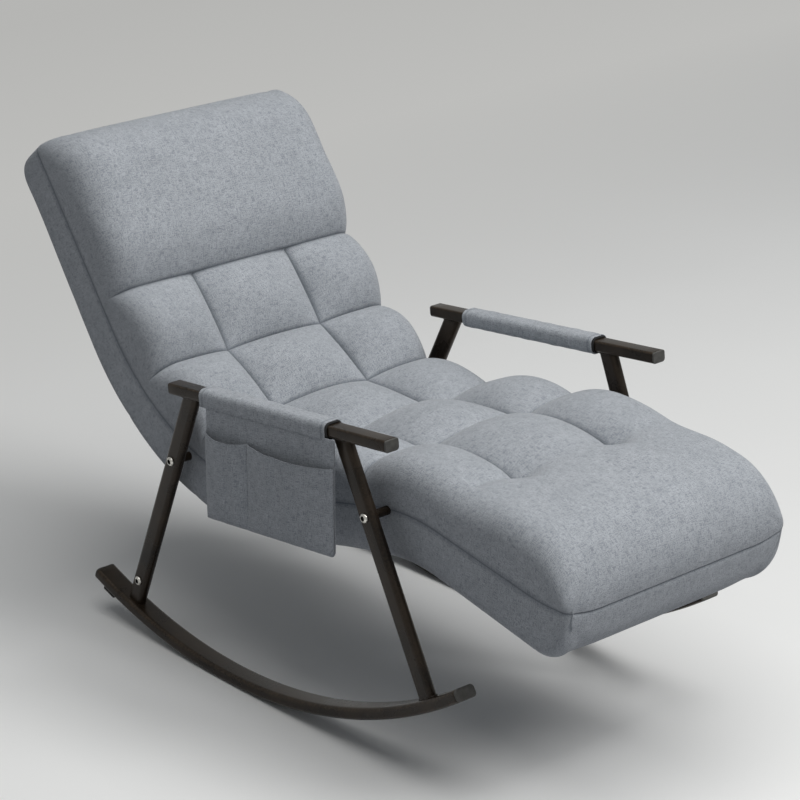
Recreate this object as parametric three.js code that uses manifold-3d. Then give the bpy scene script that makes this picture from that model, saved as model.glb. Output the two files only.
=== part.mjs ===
import * as THREE from 'three';
import { mergeVertices } from 'three/addons/utils/BufferGeometryUtils.js';
import Module from 'manifold-3d';

// A rocking lounge chair on two curved runners: two tubular side frames carry an S-shaped seat
// frame, which is held inside one long stuffed and tufted cushion. Millimetres, +Z up, the
// sitter faces -Y, and the sitter's right is -X. Heights are above the floor, and depths are
// measured from the line where the runners touch it.

const wasm = await Module();
wasm.setup();

// Clearances
const fit = 0.3;
const seamGap = 0.15;
const overrun = 20;
const weld = 0.001;
const cornerSteps = 2;

// Side frames: runners, legs and arms
const runnerRadius = 1020;
const runnerWidth = 40;
const runnerThickness = 21;
const runnerCorner = 7;
const runnerWall = 1.5;
const runnerSpacing = 542;
const facetDegrees = 3.38;
const shortestFacetShare = 0.3;
const runnerFrontDegrees = 34.8;
const runnerRearDegrees = 20.6;
const runnerPlugLength = 5;
const armSpacing = 580;
const armWidth = 28;
const armThickness = 20;
const armCorner = 6;
const armWall = 1.5;
const armLength = 540;
const armRearDepth = 107;
const armBelowHead = 316.6;
const armRiseDegrees = 6.35;
const armPlugLength = 4;
const legWidth = 35;
const legThickness = 18;
const legWall = 1.5;
const rearLegLeanDegrees = 24.4;
const frontLegLeanDegrees = 24.7;
const boltRadius = 4;

// Seat frame and cushion, along the line of the cushion's side seam from head to foot
const headSeamDepth = 522;
const headSeamHeight = 815;
const backLength = 346;
const lumbarLength = 503;
const seatLength = 227;
const kneeLength = 141;
const footLength = 284;
const backDegrees = 54.8;
const seatDegrees = -13.4;
const footDegrees = 10.7;
const headBlockLength = 298;
const backRowLength = 167;
const seatRowLength = 210;
const kneeRowLength = 185;
const headHalfWidth = 266;
const footHalfWidth = 242;
const columnHalfWidth = 103;
const crownHeight = 104;
const seatCrownHeight = 98;
const kneeCrownHeight = 88;
const channelHeight = 62;
const seatChannelHeight = 55;
const underDepth = 94;
const seatUnderDepth = 80;
const rearBoltAt = 609;
const frontBoltAt = 1107;
const frontBoltRise = 13;
const railInset = 40;
const railRadius = 12;
const railWall = 1.5;
const strapThickness = 2.2;

const armRearHeight = headSeamHeight - armBelowHead;

const radians = THREE.MathUtils.degToRad;
const acrossX = new THREE.Vector3(1, 0, 0);
const sides = [{ name: 'right', sign: -1 }, { name: 'left', sign: 1 }];
const chair = new THREE.Group();

// Finishes
const finishes = {
  frame_paint: { color: 0x24221f, roughness: 0.42, metalness: 0.6 },
  plug_plastic: { color: 0x3b3a37, roughness: 0.6, metalness: 0 },
  bolt_steel: { color: 0xb9b9b4, roughness: 0.3, metalness: 1 },
  rubber: { color: 0x161616, roughness: 0.85, metalness: 0 },
  foam: { color: 0x1b1b1c, roughness: 0.95, metalness: 0 },
  cushion_fabric: { color: 0x8b939b, roughness: 0.95, metalness: 0 },
  strap_webbing: { color: 0x2b2b2d, roughness: 0.9, metalness: 0 },
};

function add(name, geometry, finish) {
  const material = new THREE.MeshStandardMaterial({ ...finishes[finish] });
  const mesh = new THREE.Mesh(geometry, material);
  mesh.name = name;
  chair.add(mesh);
  return mesh;
}

// A closed skin over a row of equal loops that turn anticlockwise. The faces name the points of
// a loop that each triangle of the first and the last end joins.
function loft(loops, firstFaces = fan(loops[0].length), lastFaces = firstFaces) {
  const count = loops[0].length;
  const positions = loops.flat().flatMap((point) => [point.x, point.y, point.z]);
  const index = [];
  for (let row = 0; row < loops.length - 1; row += 1) {
    for (let i = 0; i < count; i += 1) {
      const next = (i + 1) % count;
      const a = row * count + i;
      const b = row * count + next;
      index.push(a, b, a + count, b, b + count, a + count);
    }
  }
  const last = (loops.length - 1) * count;
  for (const [a, b, c] of firstFaces) index.push(a, c, b);
  for (const [a, b, c] of lastFaces) index.push(last + a, last + b, last + c);
  return outward(positions, index);
}

// The end faces of a convex loop
function fan(count) {
  return Array.from({ length: count - 2 }, (_, i) => [0, i + 1, i + 2]);
}

// The end faces of a loop made of a lower chain from left to right and an upper one back
function strip(lower, upper) {
  const faces = [];
  const top = (j) => lower.length + upper.length - 1 - j;
  let i = 0;
  let j = 0;
  while (i < lower.length - 1 || j < upper.length - 1) {
    const below = i < lower.length - 1
      && (j === upper.length - 1 || lower[i + 1].x <= upper[j + 1].x);
    faces.push(below ? [i, i + 1, top(j)] : [i, top(j + 1), top(j)]);
    if (below) i += 1;
    else j += 1;
  }
  return faces;
}

// A tube's skin: an outer and an inner row of loops, joined by a ring at each end.
function tubeLoft(outer, inner) {
  const count = outer[0].length;
  const rows = outer.length;
  const positions = [...outer, ...inner].flat().flatMap((point) => [point.x, point.y, point.z]);
  const index = [];
  const quad = (a, b, c, d) => index.push(a, b, c, b, d, c);
  for (let i = 0; i < count; i += 1) {
    const next = (i + 1) % count;
    for (let row = 0; row < rows - 1; row += 1) {
      const a = row * count;
      const b = (rows + row) * count;
      quad(a + i, a + next, a + count + i, a + count + next);
      quad(b + next, b + i, b + count + next, b + count + i);
    }
    const inside = rows * count;
    const last = (rows - 1) * count;
    quad(inside + i, inside + next, i, next);
    quad(last + i, last + next, inside + last + i, inside + last + next);
  }
  return outward(positions, index);
}

function outward(positions, index) {
  const geometry = new THREE.BufferGeometry();
  geometry.setAttribute('position', new THREE.Float32BufferAttribute(positions, 3));
  const corner = (k) => new THREE.Vector3().fromArray(positions, index[k] * 3);
  let volume = 0;
  for (let k = 0; k < index.length; k += 3) {
    volume += corner(k).dot(corner(k + 1).cross(corner(k + 2)));
  }
  if (volume < 0) index.reverse();
  geometry.setIndex(index);
  geometry.computeVertexNormals();
  return geometry;
}

function solidOf(geometry) {
  const plain = geometry.clone();
  plain.deleteAttribute('normal');
  plain.deleteAttribute('uv');
  const merged = mergeVertices(plain);
  return new wasm.Manifold(new wasm.Mesh({
    numProp: 3,
    vertProperties: new Float32Array(merged.attributes.position.array),
    triVerts: new Uint32Array(merged.index.array),
  }));
}

function cut(geometry, tools) {
  let solid = solidOf(geometry);
  for (const tool of tools) solid = solid.subtract(solidOf(tool));
  const mesh = solid.getMesh();
  return outward(Array.from(mesh.vertProperties), Array.from(mesh.triVerts));
}

// The outline of a bar with rounded corners, as a loop in its own plane.
function barOutline(width, height, corner, steps) {
  const points = [];
  const centres = [[1, 1], [-1, 1], [-1, -1], [1, -1]];
  centres.forEach(([across, up], quarter) => {
    for (let step = 0; step <= steps; step += 1) {
      const angle = (quarter + step / steps) * Math.PI / 2;
      const x = across * (width / 2 - corner) + corner * Math.cos(angle);
      const y = up * (height / 2 - corner) + corner * Math.sin(angle);
      points.push(new THREE.Vector2(x, y));
    }
  });
  return points.filter((point, i) => i === 0 || point.distanceTo(points[i - 1]) > weld);
}

// A bar's outline drawn in on all sides, or grown where the inset is below zero
function insetOutline(width, height, corner, inset) {
  return barOutline(width - 2 * inset, height - 2 * inset, corner - inset, cornerSteps);
}

function roundOutline(radius, count) {
  return Array.from({ length: count }, (_, i) => {
    const angle = (i + 1 / 2) * 2 * Math.PI / count;
    return new THREE.Vector2(radius * Math.cos(angle), radius * Math.sin(angle));
  });
}

// A straight frame: an origin, and the directions of an outline's two axes and its length.
function straightFrame(origin, across, up) {
  const along = new THREE.Vector3().crossVectors(across, up);
  return (point, distance) => origin.clone()
    .addScaledVector(across, point.x)
    .addScaledVector(up, point.y)
    .addScaledVector(along, distance);
}

function straightLoops(frame, outline, distances) {
  return distances.map((distance) => outline.map((point) => frame(point, distance)));
}

// A round pin, washer or boss along X, turned from a profile of [radius, distance] pairs.
function turned(profile, count, centre, sign) {
  const points = profile.map(([radius, distance]) => new THREE.Vector2(radius, distance));
  const geometry = new THREE.LatheGeometry(points, count);
  geometry.rotateZ(-sign * Math.PI / 2);
  geometry.translate(centre.x, centre.y, centre.z);
  geometry.deleteAttribute('uv');
  geometry.deleteAttribute('normal');
  const merged = mergeVertices(geometry, weld);
  const kept = [];
  const corners = merged.index.array;
  for (let k = 0; k < corners.length; k += 3) {
    const [a, b, c] = [corners[k], corners[k + 1], corners[k + 2]];
    if (a !== b && b !== c && a !== c) kept.push(a, b, c);
  }
  return outward(Array.from(merged.attributes.position.array), kept);
}

// A flat sheet or block, drawn as [depth, height] pairs and given its thickness along X.
function slab(outline, fromX, toX) {
  const shape = new THREE.Shape(outline.map(([depth, height]) => new THREE.Vector2(depth, height)));
  const geometry = new THREE.ExtrudeGeometry(shape, { depth: toX - fromX, bevelEnabled: false });
  const turn = new THREE.Matrix4().makeBasis(
    new THREE.Vector3(0, 1, 0), new THREE.Vector3(0, 0, 1), new THREE.Vector3(1, 0, 0));
  geometry.applyMatrix4(turn);
  geometry.translate(fromX, 0, 0);
  return geometry;
}

// Runners
// Each stands on the middle of one flat of its curve. An angle of zero is that flat's middle.
const runnerX = runnerSpacing / 2;
const runnerMidRadius = runnerRadius - runnerThickness / 2;

function runnerFrame(sign) {
  return (point, angle, flatten = 1) => new THREE.Vector3(
    sign * runnerX + point.x,
    (runnerMidRadius - point.y) / flatten * Math.sin(angle),
    runnerRadius - (runnerMidRadius - point.y) / flatten * Math.cos(angle),
  );
}

function runnerAngles() {
  const angles = [];
  const shortest = facetDegrees * shortestFacetShare;
  for (let facet = -Math.ceil(runnerFrontDegrees / facetDegrees) - 1 / 2;
    facet * facetDegrees < runnerRearDegrees - shortest; facet += 1) {
    const degrees = facet * facetDegrees;
    if (degrees > -runnerFrontDegrees + shortest) angles.push(degrees);
  }
  return [-runnerFrontDegrees, ...angles, runnerRearDegrees].map(radians);
}

function runnerLoops(sign, outline, angles) {
  const frame = runnerFrame(sign);
  const flatten = Math.cos(radians(facetDegrees) / 2);
  return angles.map((angle) => outline.map((point) => frame(point, angle, flatten)));
}

const plugEdge = 2;
const plugStem = 18;
const stemPlay = 0.8;

function runnerOutline(inset) {
  return insetOutline(runnerWidth, runnerThickness, runnerCorner, inset);
}

for (const { name, sign } of sides) {
  const angles = runnerAngles();
  const outer = runnerOutline(0);
  const inner = runnerOutline(runnerWall);
  const tube = tubeLoft(runnerLoops(sign, outer, angles), runnerLoops(sign, inner, angles));
  add(`${name}_runner`, tube, 'frame_paint');

  const stem = runnerOutline(runnerWall + stemPlay);
  const edge = runnerOutline(plugEdge);
  const ends = [['front', -runnerFrontDegrees, -1], ['rear', runnerRearDegrees, 1]];
  for (const [end, degrees, way] of ends) {
    const turn = (length) => radians(degrees) + way * length / runnerMidRadius;
    const plug = [
      [stem, turn(-plugStem)], [stem, turn(fit)], [outer, turn(fit)],
      [outer, turn(runnerPlugLength - plugEdge)], [edge, turn(runnerPlugLength)],
    ];
    const loops = plug.map(([outline, angle]) => runnerLoops(sign, outline, [angle])[0]);
    add(`${name}_runner_${end}_plug`, loft(loops), 'plug_plastic');
  }
}

// Rear stops
// Rubber blocks under the runners' rear ends, which end the backward rock.
const stopLength = 30;
const stopWidth = 30;
const stopDepth = 8;
const stopFromEnd = 20;

for (const { name, sign } of sides) {
  const outline = barOutline(stopWidth, stopDepth, stopDepth / 4, 1);
  outline.forEach((point) => { point.y -= (runnerThickness + stopDepth) / 2 + fit; });
  const last = radians(runnerRearDegrees) - stopFromEnd / runnerRadius;
  const angles = [last - stopLength / runnerRadius, last];
  const loops = runnerLoops(sign, outline, angles);
  add(`${name}_rear_stop`, loft(loops), 'rubber');
}

// Seam line
// The side seam runs as straights and arcs. At a distance from the head it has a place, a slope
// and, across the cushion's thickness, a direction towards the sitter.
const seamPieces = [
  { length: backLength, from: backDegrees, to: backDegrees },
  { length: lumbarLength, from: backDegrees, to: seatDegrees },
  { length: seatLength, from: seatDegrees, to: seatDegrees },
  { length: kneeLength, from: seatDegrees, to: footDegrees },
  { length: footLength, from: footDegrees, to: footDegrees },
];
const cushionLength = seamPieces.reduce((sum, piece) => sum + piece.length, 0);

function seamAt(distance) {
  let depth = headSeamDepth;
  let height = headSeamHeight;
  let left = distance;
  let slope = radians(backDegrees);
  for (const { length, from, to } of seamPieces) {
    const run = Math.min(Math.max(left, 0), length);
    const start = radians(from);
    const bend = radians(to - from) / length;
    slope = run > 0 ? start + bend * run : slope;
    if (bend === 0) {
      depth -= run * Math.cos(start);
      height -= run * Math.sin(start);
    } else {
      depth -= (Math.sin(start + bend * run) - Math.sin(start)) / bend;
      height += (Math.cos(start + bend * run) - Math.cos(start)) / bend;
    }
    left -= run;
  }
  return { depth, height, slope };
}

// Every swept piece of the cushion and its frame uses the same stations, so that their flats
// lie on each other. The stations follow the rows of tufts.
const rowSteps = 6;
const headSteps = 9;
const footSteps = 9;
const rows = [backRowLength, backRowLength, seatRowLength, seatRowLength, kneeRowLength];
const stations = [0];

function addStations(length, steps, spacing) {
  const start = stations[stations.length - 1];
  for (let step = 1; step <= steps; step += 1) stations.push(start + length * spacing(step / steps));
}

const tuftedLength = rows.reduce((sum, length) => sum + length, 0);
addStations(headBlockLength, headSteps, (share) => 1 - Math.cos(share * Math.PI / 2));
for (const row of rows) addStations(row, rowSteps, (share) => (1 - Math.cos(share * Math.PI)) / 2);
addStations(cushionLength - headBlockLength - tuftedLength, footSteps,
  (share) => Math.sin(share * Math.PI / 2));
const crossings = rows.reduce((list, length) => [...list, list[list.length - 1] + length],
  [headBlockLength]);

// A place beside the seam line: across is along X, out is towards the sitter. On a bend the
// flats between two stations keep their full distance from the line's flats.
function beside(index, across, out) {
  const here = stations[index];
  const before = seamAt(stations[Math.max(index - 1, 0)]);
  const after = seamAt(stations[Math.min(index + 1, stations.length - 1)]);
  const middle = seamAt(here);
  const slopeBefore = Math.atan2(before.height - middle.height, before.depth - middle.depth);
  const slopeAfter = Math.atan2(middle.height - after.height, middle.depth - after.depth);
  const first = index === 0 ? slopeAfter : slopeBefore;
  const second = index === stations.length - 1 ? slopeBefore : slopeAfter;
  const slope = (first + second) / 2;
  const reach = out / Math.cos((first - second) / 2);
  return new THREE.Vector3(
    across, middle.depth - reach * Math.sin(slope), middle.height + reach * Math.cos(slope));
}

// Cushion form
// In section each half has a side wall, drawn in at the seam, and a rounded edge.
const headRound = 88;
const footRound = 108;
const underHeadRound = 38;
const underFootRound = 54;
const cornerRound = 14;
const sideRound = 44;
const headSideRound = 70;
const underSideRound = 34;
const sideDraw = 4;
const lipHeight = 2.4;
const tuftPower = 0.55;
const sinkShare = 0.14;
const sideFall = 10;
const saddleLength = 130;
const pitLength = 26;
const hollowReach = 170;
const columnSteps = 8;
const tuftSideSteps = 4;
const edgeSteps = 4;
const crowns = [crownHeight, crownHeight, seatCrownHeight, seatCrownHeight, kneeCrownHeight];
const channels = crossings.map((_, i) => (i < 2 ? channelHeight : seatChannelHeight));
const lastCrossing = crossings[crossings.length - 1];

function halfWidth(distance) {
  const share = distance / cushionLength;
  const full = THREE.MathUtils.lerp(headHalfWidth, footHalfWidth, share);
  const fromEnd = Math.min(distance, cushionLength - distance);
  const inShare = Math.max(1 - fromEnd / cornerRound, 0);
  return full - cornerRound * (1 - Math.sqrt(Math.max(1 - inShare * inShare, 0)));
}

// How much of a height is reached near the end of the cushion, where its edge is rounded
function endShare(distance, height, headEdge, footEdge) {
  const fromHead = distance < cushionLength / 2;
  const fromEnd = fromHead ? distance : cushionLength - distance;
  const edge = fromHead ? headEdge : footEdge;
  const left = Math.max(edge - fromEnd, 0);
  return (height - edge + Math.sqrt(Math.max(edge * edge - left * left, 0))) / height;
}

// The points of a side from the seam to the top of the rounded edge, for a height at a place
function edgePoints(half, round, heightAt) {
  const reached = Math.min(round, heightAt(half - round));
  const wall = heightAt(half) - Math.min(reached, heightAt(half));
  const points = [new THREE.Vector2(half - sideDraw, lipHeight)];
  for (let step = 0; step <= edgeSteps; step += 1) {
    const turn = step / edgeSteps * Math.PI / 2;
    const across = half - reached * (1 - Math.cos(turn));
    const height = Math.max(heightAt(across) - reached, 0) + reached * Math.sin(turn);
    points.push(new THREE.Vector2(across, lipHeight + Math.max(height, wall)));
  }
  return points;
}

// How far a tuft has swelled between the two long seams, or between one and the side
function columnSwell(across, half) {
  const side = Math.abs(across) > columnHalfWidth;
  const column = side
    ? (Math.abs(across) - columnHalfWidth) / (half - columnHalfWidth)
    : (across + columnHalfWidth) / (2 * columnHalfWidth);
  const swing = side ? Math.sin(Math.PI / 2 * Math.min(2 * column, 1)) : Math.sin(Math.PI * column);
  return Math.max(swing, 0) ** tuftPower;
}

// The crowns are lower towards the sides of the seat
function crownFall(distance, across, half) {
  return sideFall * THREE.MathUtils.smoothstep(distance, crossings[1], crossings[3]) * (across / half) ** 2;
}

// Tufts: each swells between its channels and sinks a little more where four tufts meet. The
// last row runs on into the foot block, and only the long seams sink there.
function tuftHeight(distance, across, half) {
  const row = crossings.findIndex((end, i) => i > 0 && distance <= end) - 1;
  if (distance <= crossings[0]) return headTop(distance);
  if (row < 0) return footTop(distance, across, half);
  const along = (distance - crossings[row]) / (crossings[row + 1] - crossings[row]);
  const joined = row === rows.length - 1 && along > 1 / 2;
  const rowSwell = Math.max(Math.sin(Math.PI * along), 0) ** tuftPower;
  const swell = columnSwell(across, half);
  const channel = THREE.MathUtils.lerp(channels[row], channels[row + 1], along);
  const low = channel * (1 - sinkShare * (1 - swell) * (1 - rowSwell));
  const crown = crowns[row] - crownFall(distance, across, half);
  return low + (crown - low) * (joined ? 1 : rowSwell) * swell;
}

function headTop(distance) {
  const share = Math.min((crossings[0] - distance) / headRound, 1);
  return channelHeight + (crownHeight - channelHeight) * Math.sin(Math.PI / 2 * share) ** tuftPower;
}

// The foot block rises from the last row's height, and the two long seams fade out in it
function footTop(distance, across, half) {
  const past = distance - lastCrossing;
  const rise = THREE.MathUtils.smoothstep(past, 0, saddleLength);
  const block = THREE.MathUtils.lerp(kneeCrownHeight, crownHeight, rise)
    - crownFall(distance, across, half);
  const unswelled = 1 - columnSwell(across, half);
  const low = seatChannelHeight * (1 - sinkShare * unswelled);
  return block - (block - low) * unswelled * Math.exp(-((past / pitLength) ** 2));
}

// How deep the cushion is below its seam: it is thinner under the seat
function underAt(distance) {
  const middle = (crossings[3] + crossings[4]) / 2;
  const hollow = Math.exp(-(((distance - middle) / hollowReach) ** 2));
  return THREE.MathUtils.lerp(underDepth, seatUnderDepth, hollow);
}

// The points across the upper side, closer together at the edges and at the two channels
function upperChain(distance) {
  const half = halfWidth(distance);
  const share = endShare(distance, crownHeight, headRound, footRound);
  const heightAt = (across) => tuftHeight(distance, across, half) * share;
  const atHead = Math.max(1 - distance / headBlockLength, 0) ** 2;
  const round = THREE.MathUtils.lerp(sideRound, headSideRound, atHead);
  const edge = edgePoints(half, round, heightAt);
  const start = edge[edge.length - 1].x;
  const sideWidth = start - columnHalfWidth;
  const right = [...edge];
  for (let i = 1; i < tuftSideSteps; i += 1) {
    const across = start - sideWidth * (1 - Math.cos(i / tuftSideSteps * Math.PI / 2));
    right.push(new THREE.Vector2(across, lipHeight + heightAt(across)));
  }
  const inner = Array.from({ length: columnSteps + 1 }, (_, i) => {
    const across = -columnHalfWidth * Math.cos(i / columnSteps * Math.PI);
    return new THREE.Vector2(across, lipHeight + heightAt(across));
  });
  const left = right.map((point) => new THREE.Vector2(-point.x, point.y));
  return [...left, ...inner, ...right.reverse()]
    .map((point) => new THREE.Vector2(point.x, point.y + seamGap));
}

function bottomPlaces(half) {
  const middle = (half + columnHalfWidth) / 2;
  const brim = half - sideDraw;
  return [-brim, -middle, -columnHalfWidth, 0, columnHalfWidth, middle, brim];
}

// A pad's skin between two rows of chains, each a list of points across the cushion
function pad(lowers, uppers, first) {
  const last = first + lowers.length - 1;
  const loops = lowers.map((lower, i) => [...lower, ...[...uppers[i]].reverse()]
    .map((point) => trimmed(beside(first + i, point.x, point.y), first + i, first, last)));
  const end = lowers.length - 1;
  return loft(loops, strip(lowers[0], uppers[0]), strip(lowers[end], uppers[end]));
}

// Upper pads
// The stuffed and quilted upper side, in the four lengths that its sewn cross channels part.
const padSections = [
  ['head_pad', 0, headSteps],
  ['back_pad', headSteps, headSteps + 2 * rowSteps],
  ['seat_pad', headSteps + 2 * rowSteps, headSteps + 5 * rowSteps],
  ['foot_pad', headSteps + 5 * rowSteps, stations.length - 1],
];

function trimmed(point, index, first, last) {
  const slope = seamAt(stations[index]).slope;
  const shift = (index === first && first > 0 ? seamGap : 0)
    - (index === last && last < stations.length - 1 ? seamGap : 0);
  point.y -= shift * Math.cos(slope);
  point.z -= shift * Math.sin(slope);
  return point;
}

const upperPads = padSections.map(([name, first, last]) => {
  const lowers = [];
  const uppers = [];
  for (let index = first; index <= last; index += 1) {
    const half = halfWidth(stations[index]);
    lowers.push(bottomPlaces(half).map((across) => new THREE.Vector2(across, seamGap)));
    uppers.push(upperChain(stations[index]));
  }
  return [name, pad(lowers, uppers, first)];
});

// Under pads
// The thinner padding and cover behind and below the frame. It is dished, so that the frame and
// its straps lie inside, and its rim meets the upper pads along the side seam.
const rimWidth = 24;
const rimSlope = 3;
const dishDepth = seamGap + strapThickness + fit + 2 * railRadius + fit;
const dishEndInset = 60;
const sagRoom = 38;
const bossRadius = 7.5;
const bossClearance = 0.6;
const flangeRadius = 13.5;
const flangeThickness = 3;
const boltSides = 12;

function railPlace(distance) {
  return halfWidth(distance) - railInset;
}

const railOut = -(seamGap + strapThickness + fit + railRadius);

function dish(distance) {
  const half = halfWidth(distance);
  const dished = distance > dishEndInset && distance < cushionLength - dishEndInset;
  const sag = distance > crossings[2] ? sagRoom : 0;
  const shelf = dished ? -dishDepth : -seamGap;
  const brim = half - rimWidth;
  const pit = railPlace(distance) - railRadius - rimSlope;
  const right = [[half - sideDraw, -seamGap], [brim, -seamGap], [brim - rimSlope, shelf],
    [pit, shelf], [pit - rimSlope, dished ? shelf - sag : shelf]];
  const places = [...right.map(([across, out]) => [-across, out]), ...[...right].reverse()];
  return places.map(([across, out]) => new THREE.Vector2(across, out));
}

function belly(distance) {
  const half = halfWidth(distance);
  const depth = underAt(distance) * endShare(distance, underDepth, underHeadRound, underFootRound);
  const right = edgePoints(half, underSideRound, () => depth);
  const left = right.map((point) => new THREE.Vector2(-point.x, point.y));
  return [...left, new THREE.Vector2(0, lipHeight + depth), ...right.reverse()]
    .map((point) => new THREE.Vector2(point.x, -(seamGap + point.y)));
}

const underSections = [
  ['head_under_pad', 0, headSteps],
  ['back_under_pad', headSteps, headSteps + 2 * rowSteps],
  ['seat_under_pad', headSteps + 2 * rowSteps, headSteps + 5 * rowSteps],
  ['foot_under_pad', headSteps + 5 * rowSteps, stations.length - 1],
];

// The bolts' places: beside the rail's middle, at a distance along the seam line
function boltCentre(distance, rise) {
  const index = stations.findIndex((place) => place > distance);
  const share = (distance - stations[index - 1]) / (stations[index] - stations[index - 1]);
  return beside(index - 1, 0, railOut + rise).lerp(beside(index, 0, railOut + rise), share);
}

const bolts = [
  { end: 'rear', at: rearBoltAt, lean: rearLegLeanDegrees, centre: boltCentre(rearBoltAt, 0) },
  { end: 'front', at: frontBoltAt, lean: -frontLegLeanDegrees,
    centre: boltCentre(frontBoltAt, frontBoltRise) },
];

// A boss: a flange on the rail's side and a barrel that comes out through the cushion's side
function bossProfile(bore, length, clearance) {
  const flange = flangeThickness + clearance;
  return [[bore, -clearance], [flangeRadius + clearance, -clearance],
    [flangeRadius + clearance, flange], [bossRadius + clearance, flange],
    [bossRadius + clearance, length], [bore, length]];
}

function bossStart(at) {
  return railPlace(at) + railRadius + fit;
}

const bossHoles = bolts.flatMap(({ at, centre }) => sides.map(({ sign }) => {
  const start = new THREE.Vector3(sign * bossStart(at), centre.y, centre.z);
  return turned(bossProfile(0, railInset + overrun, bossClearance), boltSides, start, sign);
}));

for (const [name, skin] of upperPads) {
  add(name, name === 'seat_pad' ? cut(skin, bossHoles) : skin, 'cushion_fabric');
}
for (const [name, first, last] of underSections) {
  const lowers = [];
  const uppers = [];
  for (let index = first; index <= last; index += 1) {
    lowers.push(belly(stations[index]));
    uppers.push(dish(stations[index]));
  }
  const skin = pad(lowers, uppers, first);
  const bored = name === 'back_under_pad' || name === 'seat_under_pad';
  add(name, bored ? cut(skin, bossHoles) : skin, 'cushion_fabric');
}

// Frame rails
const railSides = 8;
const railEndInset = 72;
const railFirst = stations.findIndex((place) => place > railEndInset);
const railLast = stations.findIndex((place) => place > cushionLength - railEndInset) - 1;
const railStations = stations.map((_, index) => index)
  .filter((index) => index >= railFirst && index <= railLast);

for (const { name, sign } of sides) {
  const widen = 1 / Math.cos(Math.PI / railSides);
  const loops = (radius) => {
    const outline = roundOutline(radius * widen, railSides);
    return railStations.map((index) => {
      const centre = sign * railPlace(stations[index]);
      return outline.map((p) => beside(index, centre + p.x, railOut + p.y));
    });
  };
  add(`${name}_frame_rail`, tubeLoft(loops(railRadius), loops(railRadius - railWall)), 'frame_paint');
}

// Cross tubes
// Straight tubes welded between the rails, each in the middle of one flat of the line.
const crossRadius = 10;
const crossStations = [
  ['head', railFirst + 1], ['shoulder', headSteps + 1], ['lumbar', headSteps + 2 * rowSteps - 2],
  ['seat_rear', headSteps + 3 * rowSteps - 1], ['seat_front', headSteps + 5 * rowSteps - 2],
  ['foot', railLast - 1],
];

for (const [name, index] of crossStations) {
  const narrowest = Math.min(railPlace(stations[index]), railPlace(stations[index + 1]));
  const reach = narrowest - railRadius - fit;
  const low = beside(index, 0, railOut);
  const centre = low.clone().add(beside(index + 1, 0, railOut)).multiplyScalar(1 / 2);
  const up = beside(index, 0, 0).sub(low).normalize();
  const frame = straightFrame(centre, new THREE.Vector3().crossVectors(up, acrossX), up);
  const loops = (radius) => straightLoops(frame, roundOutline(radius, railSides), [-reach, reach]);
  const tube = tubeLoft(loops(crossRadius), loops(crossRadius - railWall));
  add(`${name}_cross_tube`, tube, 'frame_paint');
}

// Support straps
// Elastic webbing stretched over the rails, under the upper pads.
const strapSpan = railInset;
const strapRows = [
  ['head', railFirst], ['shoulder', headSteps + 3], ['lumbar', headSteps + 8],
  ['seat_rear', headSteps + 14], ['seat_middle', headSteps + 20], ['seat_front', headSteps + 26],
  ['foot', headSteps + 31],
];
const strapTop = -seamGap;

for (const [name, index] of strapRows) {
  const reach = halfWidth(stations[index]) - strapSpan;
  const outline = [[-reach, strapTop], [-reach, strapTop - strapThickness],
    [reach, strapTop - strapThickness], [reach, strapTop]].map(([x, y]) => new THREE.Vector2(x, y));
  const loops = [index, index + 1].map((i) => outline.map((p) => beside(i, p.x, p.y)));
  add(`${name}_support_strap`, loft(loops), 'strap_webbing');
}

// Arm bars
const armSlope = radians(armRiseDegrees);
const armForward = new THREE.Vector3(0, -Math.cos(armSlope), Math.sin(armSlope));
const armUp = new THREE.Vector3(0, Math.sin(armSlope), Math.cos(armSlope));
const armX = armSpacing / 2;

function armOutline(inset) {
  return insetOutline(armWidth, armThickness, armCorner, inset);
}

// Distances run from the bar's rear end towards its front.
function armFrame(sign) {
  const origin = new THREE.Vector3(sign * armX, armRearDepth, armRearHeight);
  return (point, distance) => origin.clone()
    .addScaledVector(acrossX, point.x)
    .addScaledVector(armUp, point.y)
    .addScaledVector(armForward, distance);
}

function armLoops(sign, outline, distances) {
  const frame = armFrame(sign);
  return distances.map((distance) => outline.map((point) => frame(point, distance)));
}

for (const { name, sign } of sides) {
  const length = [0, armLength];
  const outer = armOutline(0);
  const bar = tubeLoft(armLoops(sign, outer, length), armLoops(sign, armOutline(armWall), length));
  add(`${name}_arm_bar`, bar, 'frame_paint');
  const stem = armOutline(armWall + fit);
  const edge = armOutline(plugEdge);
  for (const [end, start, way] of [['front', armLength, 1], ['rear', 0, -1]]) {
    const places = [[stem, -plugStem], [stem, fit], [outer, fit],
      [outer, armPlugLength - plugEdge], [edge, armPlugLength]];
    const loops = places.map(([outline, d]) => armLoops(sign, outline, [start + way * d])[0]);
    add(`${name}_arm_${end}_plug`, loft(loops), 'plug_plastic');
  }
}

// Arm pads
// A foam tube round each bar under a sewn fabric sleeve. The foam shows by a few millimetres
// at the front.
const foamThickness = 3.2;
const sleeveThickness = 1.6;
const sleeveStart = 88;
const sleeveLength = 317;
const foamShown = 3;
const padCorner = 11;

// A tube round the bar: how far its inner and outer faces stand off, and their corners
function padTube(sign, [bore, boreCorner], [face, faceCorner], to) {
  const loops = (reach, corner) => {
    const outline = barOutline(armWidth + 2 * reach, armThickness + 2 * reach, corner, cornerSteps + 1);
    return armLoops(sign, outline, [sleeveStart, to]);
  };
  return tubeLoft(loops(face, faceCorner), loops(bore, boreCorner));
}

const foamReach = fit + foamThickness;
const sleeveReach = foamReach + fit + sleeveThickness;
const sleeveCorner = padCorner + fit + sleeveThickness;

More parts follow.
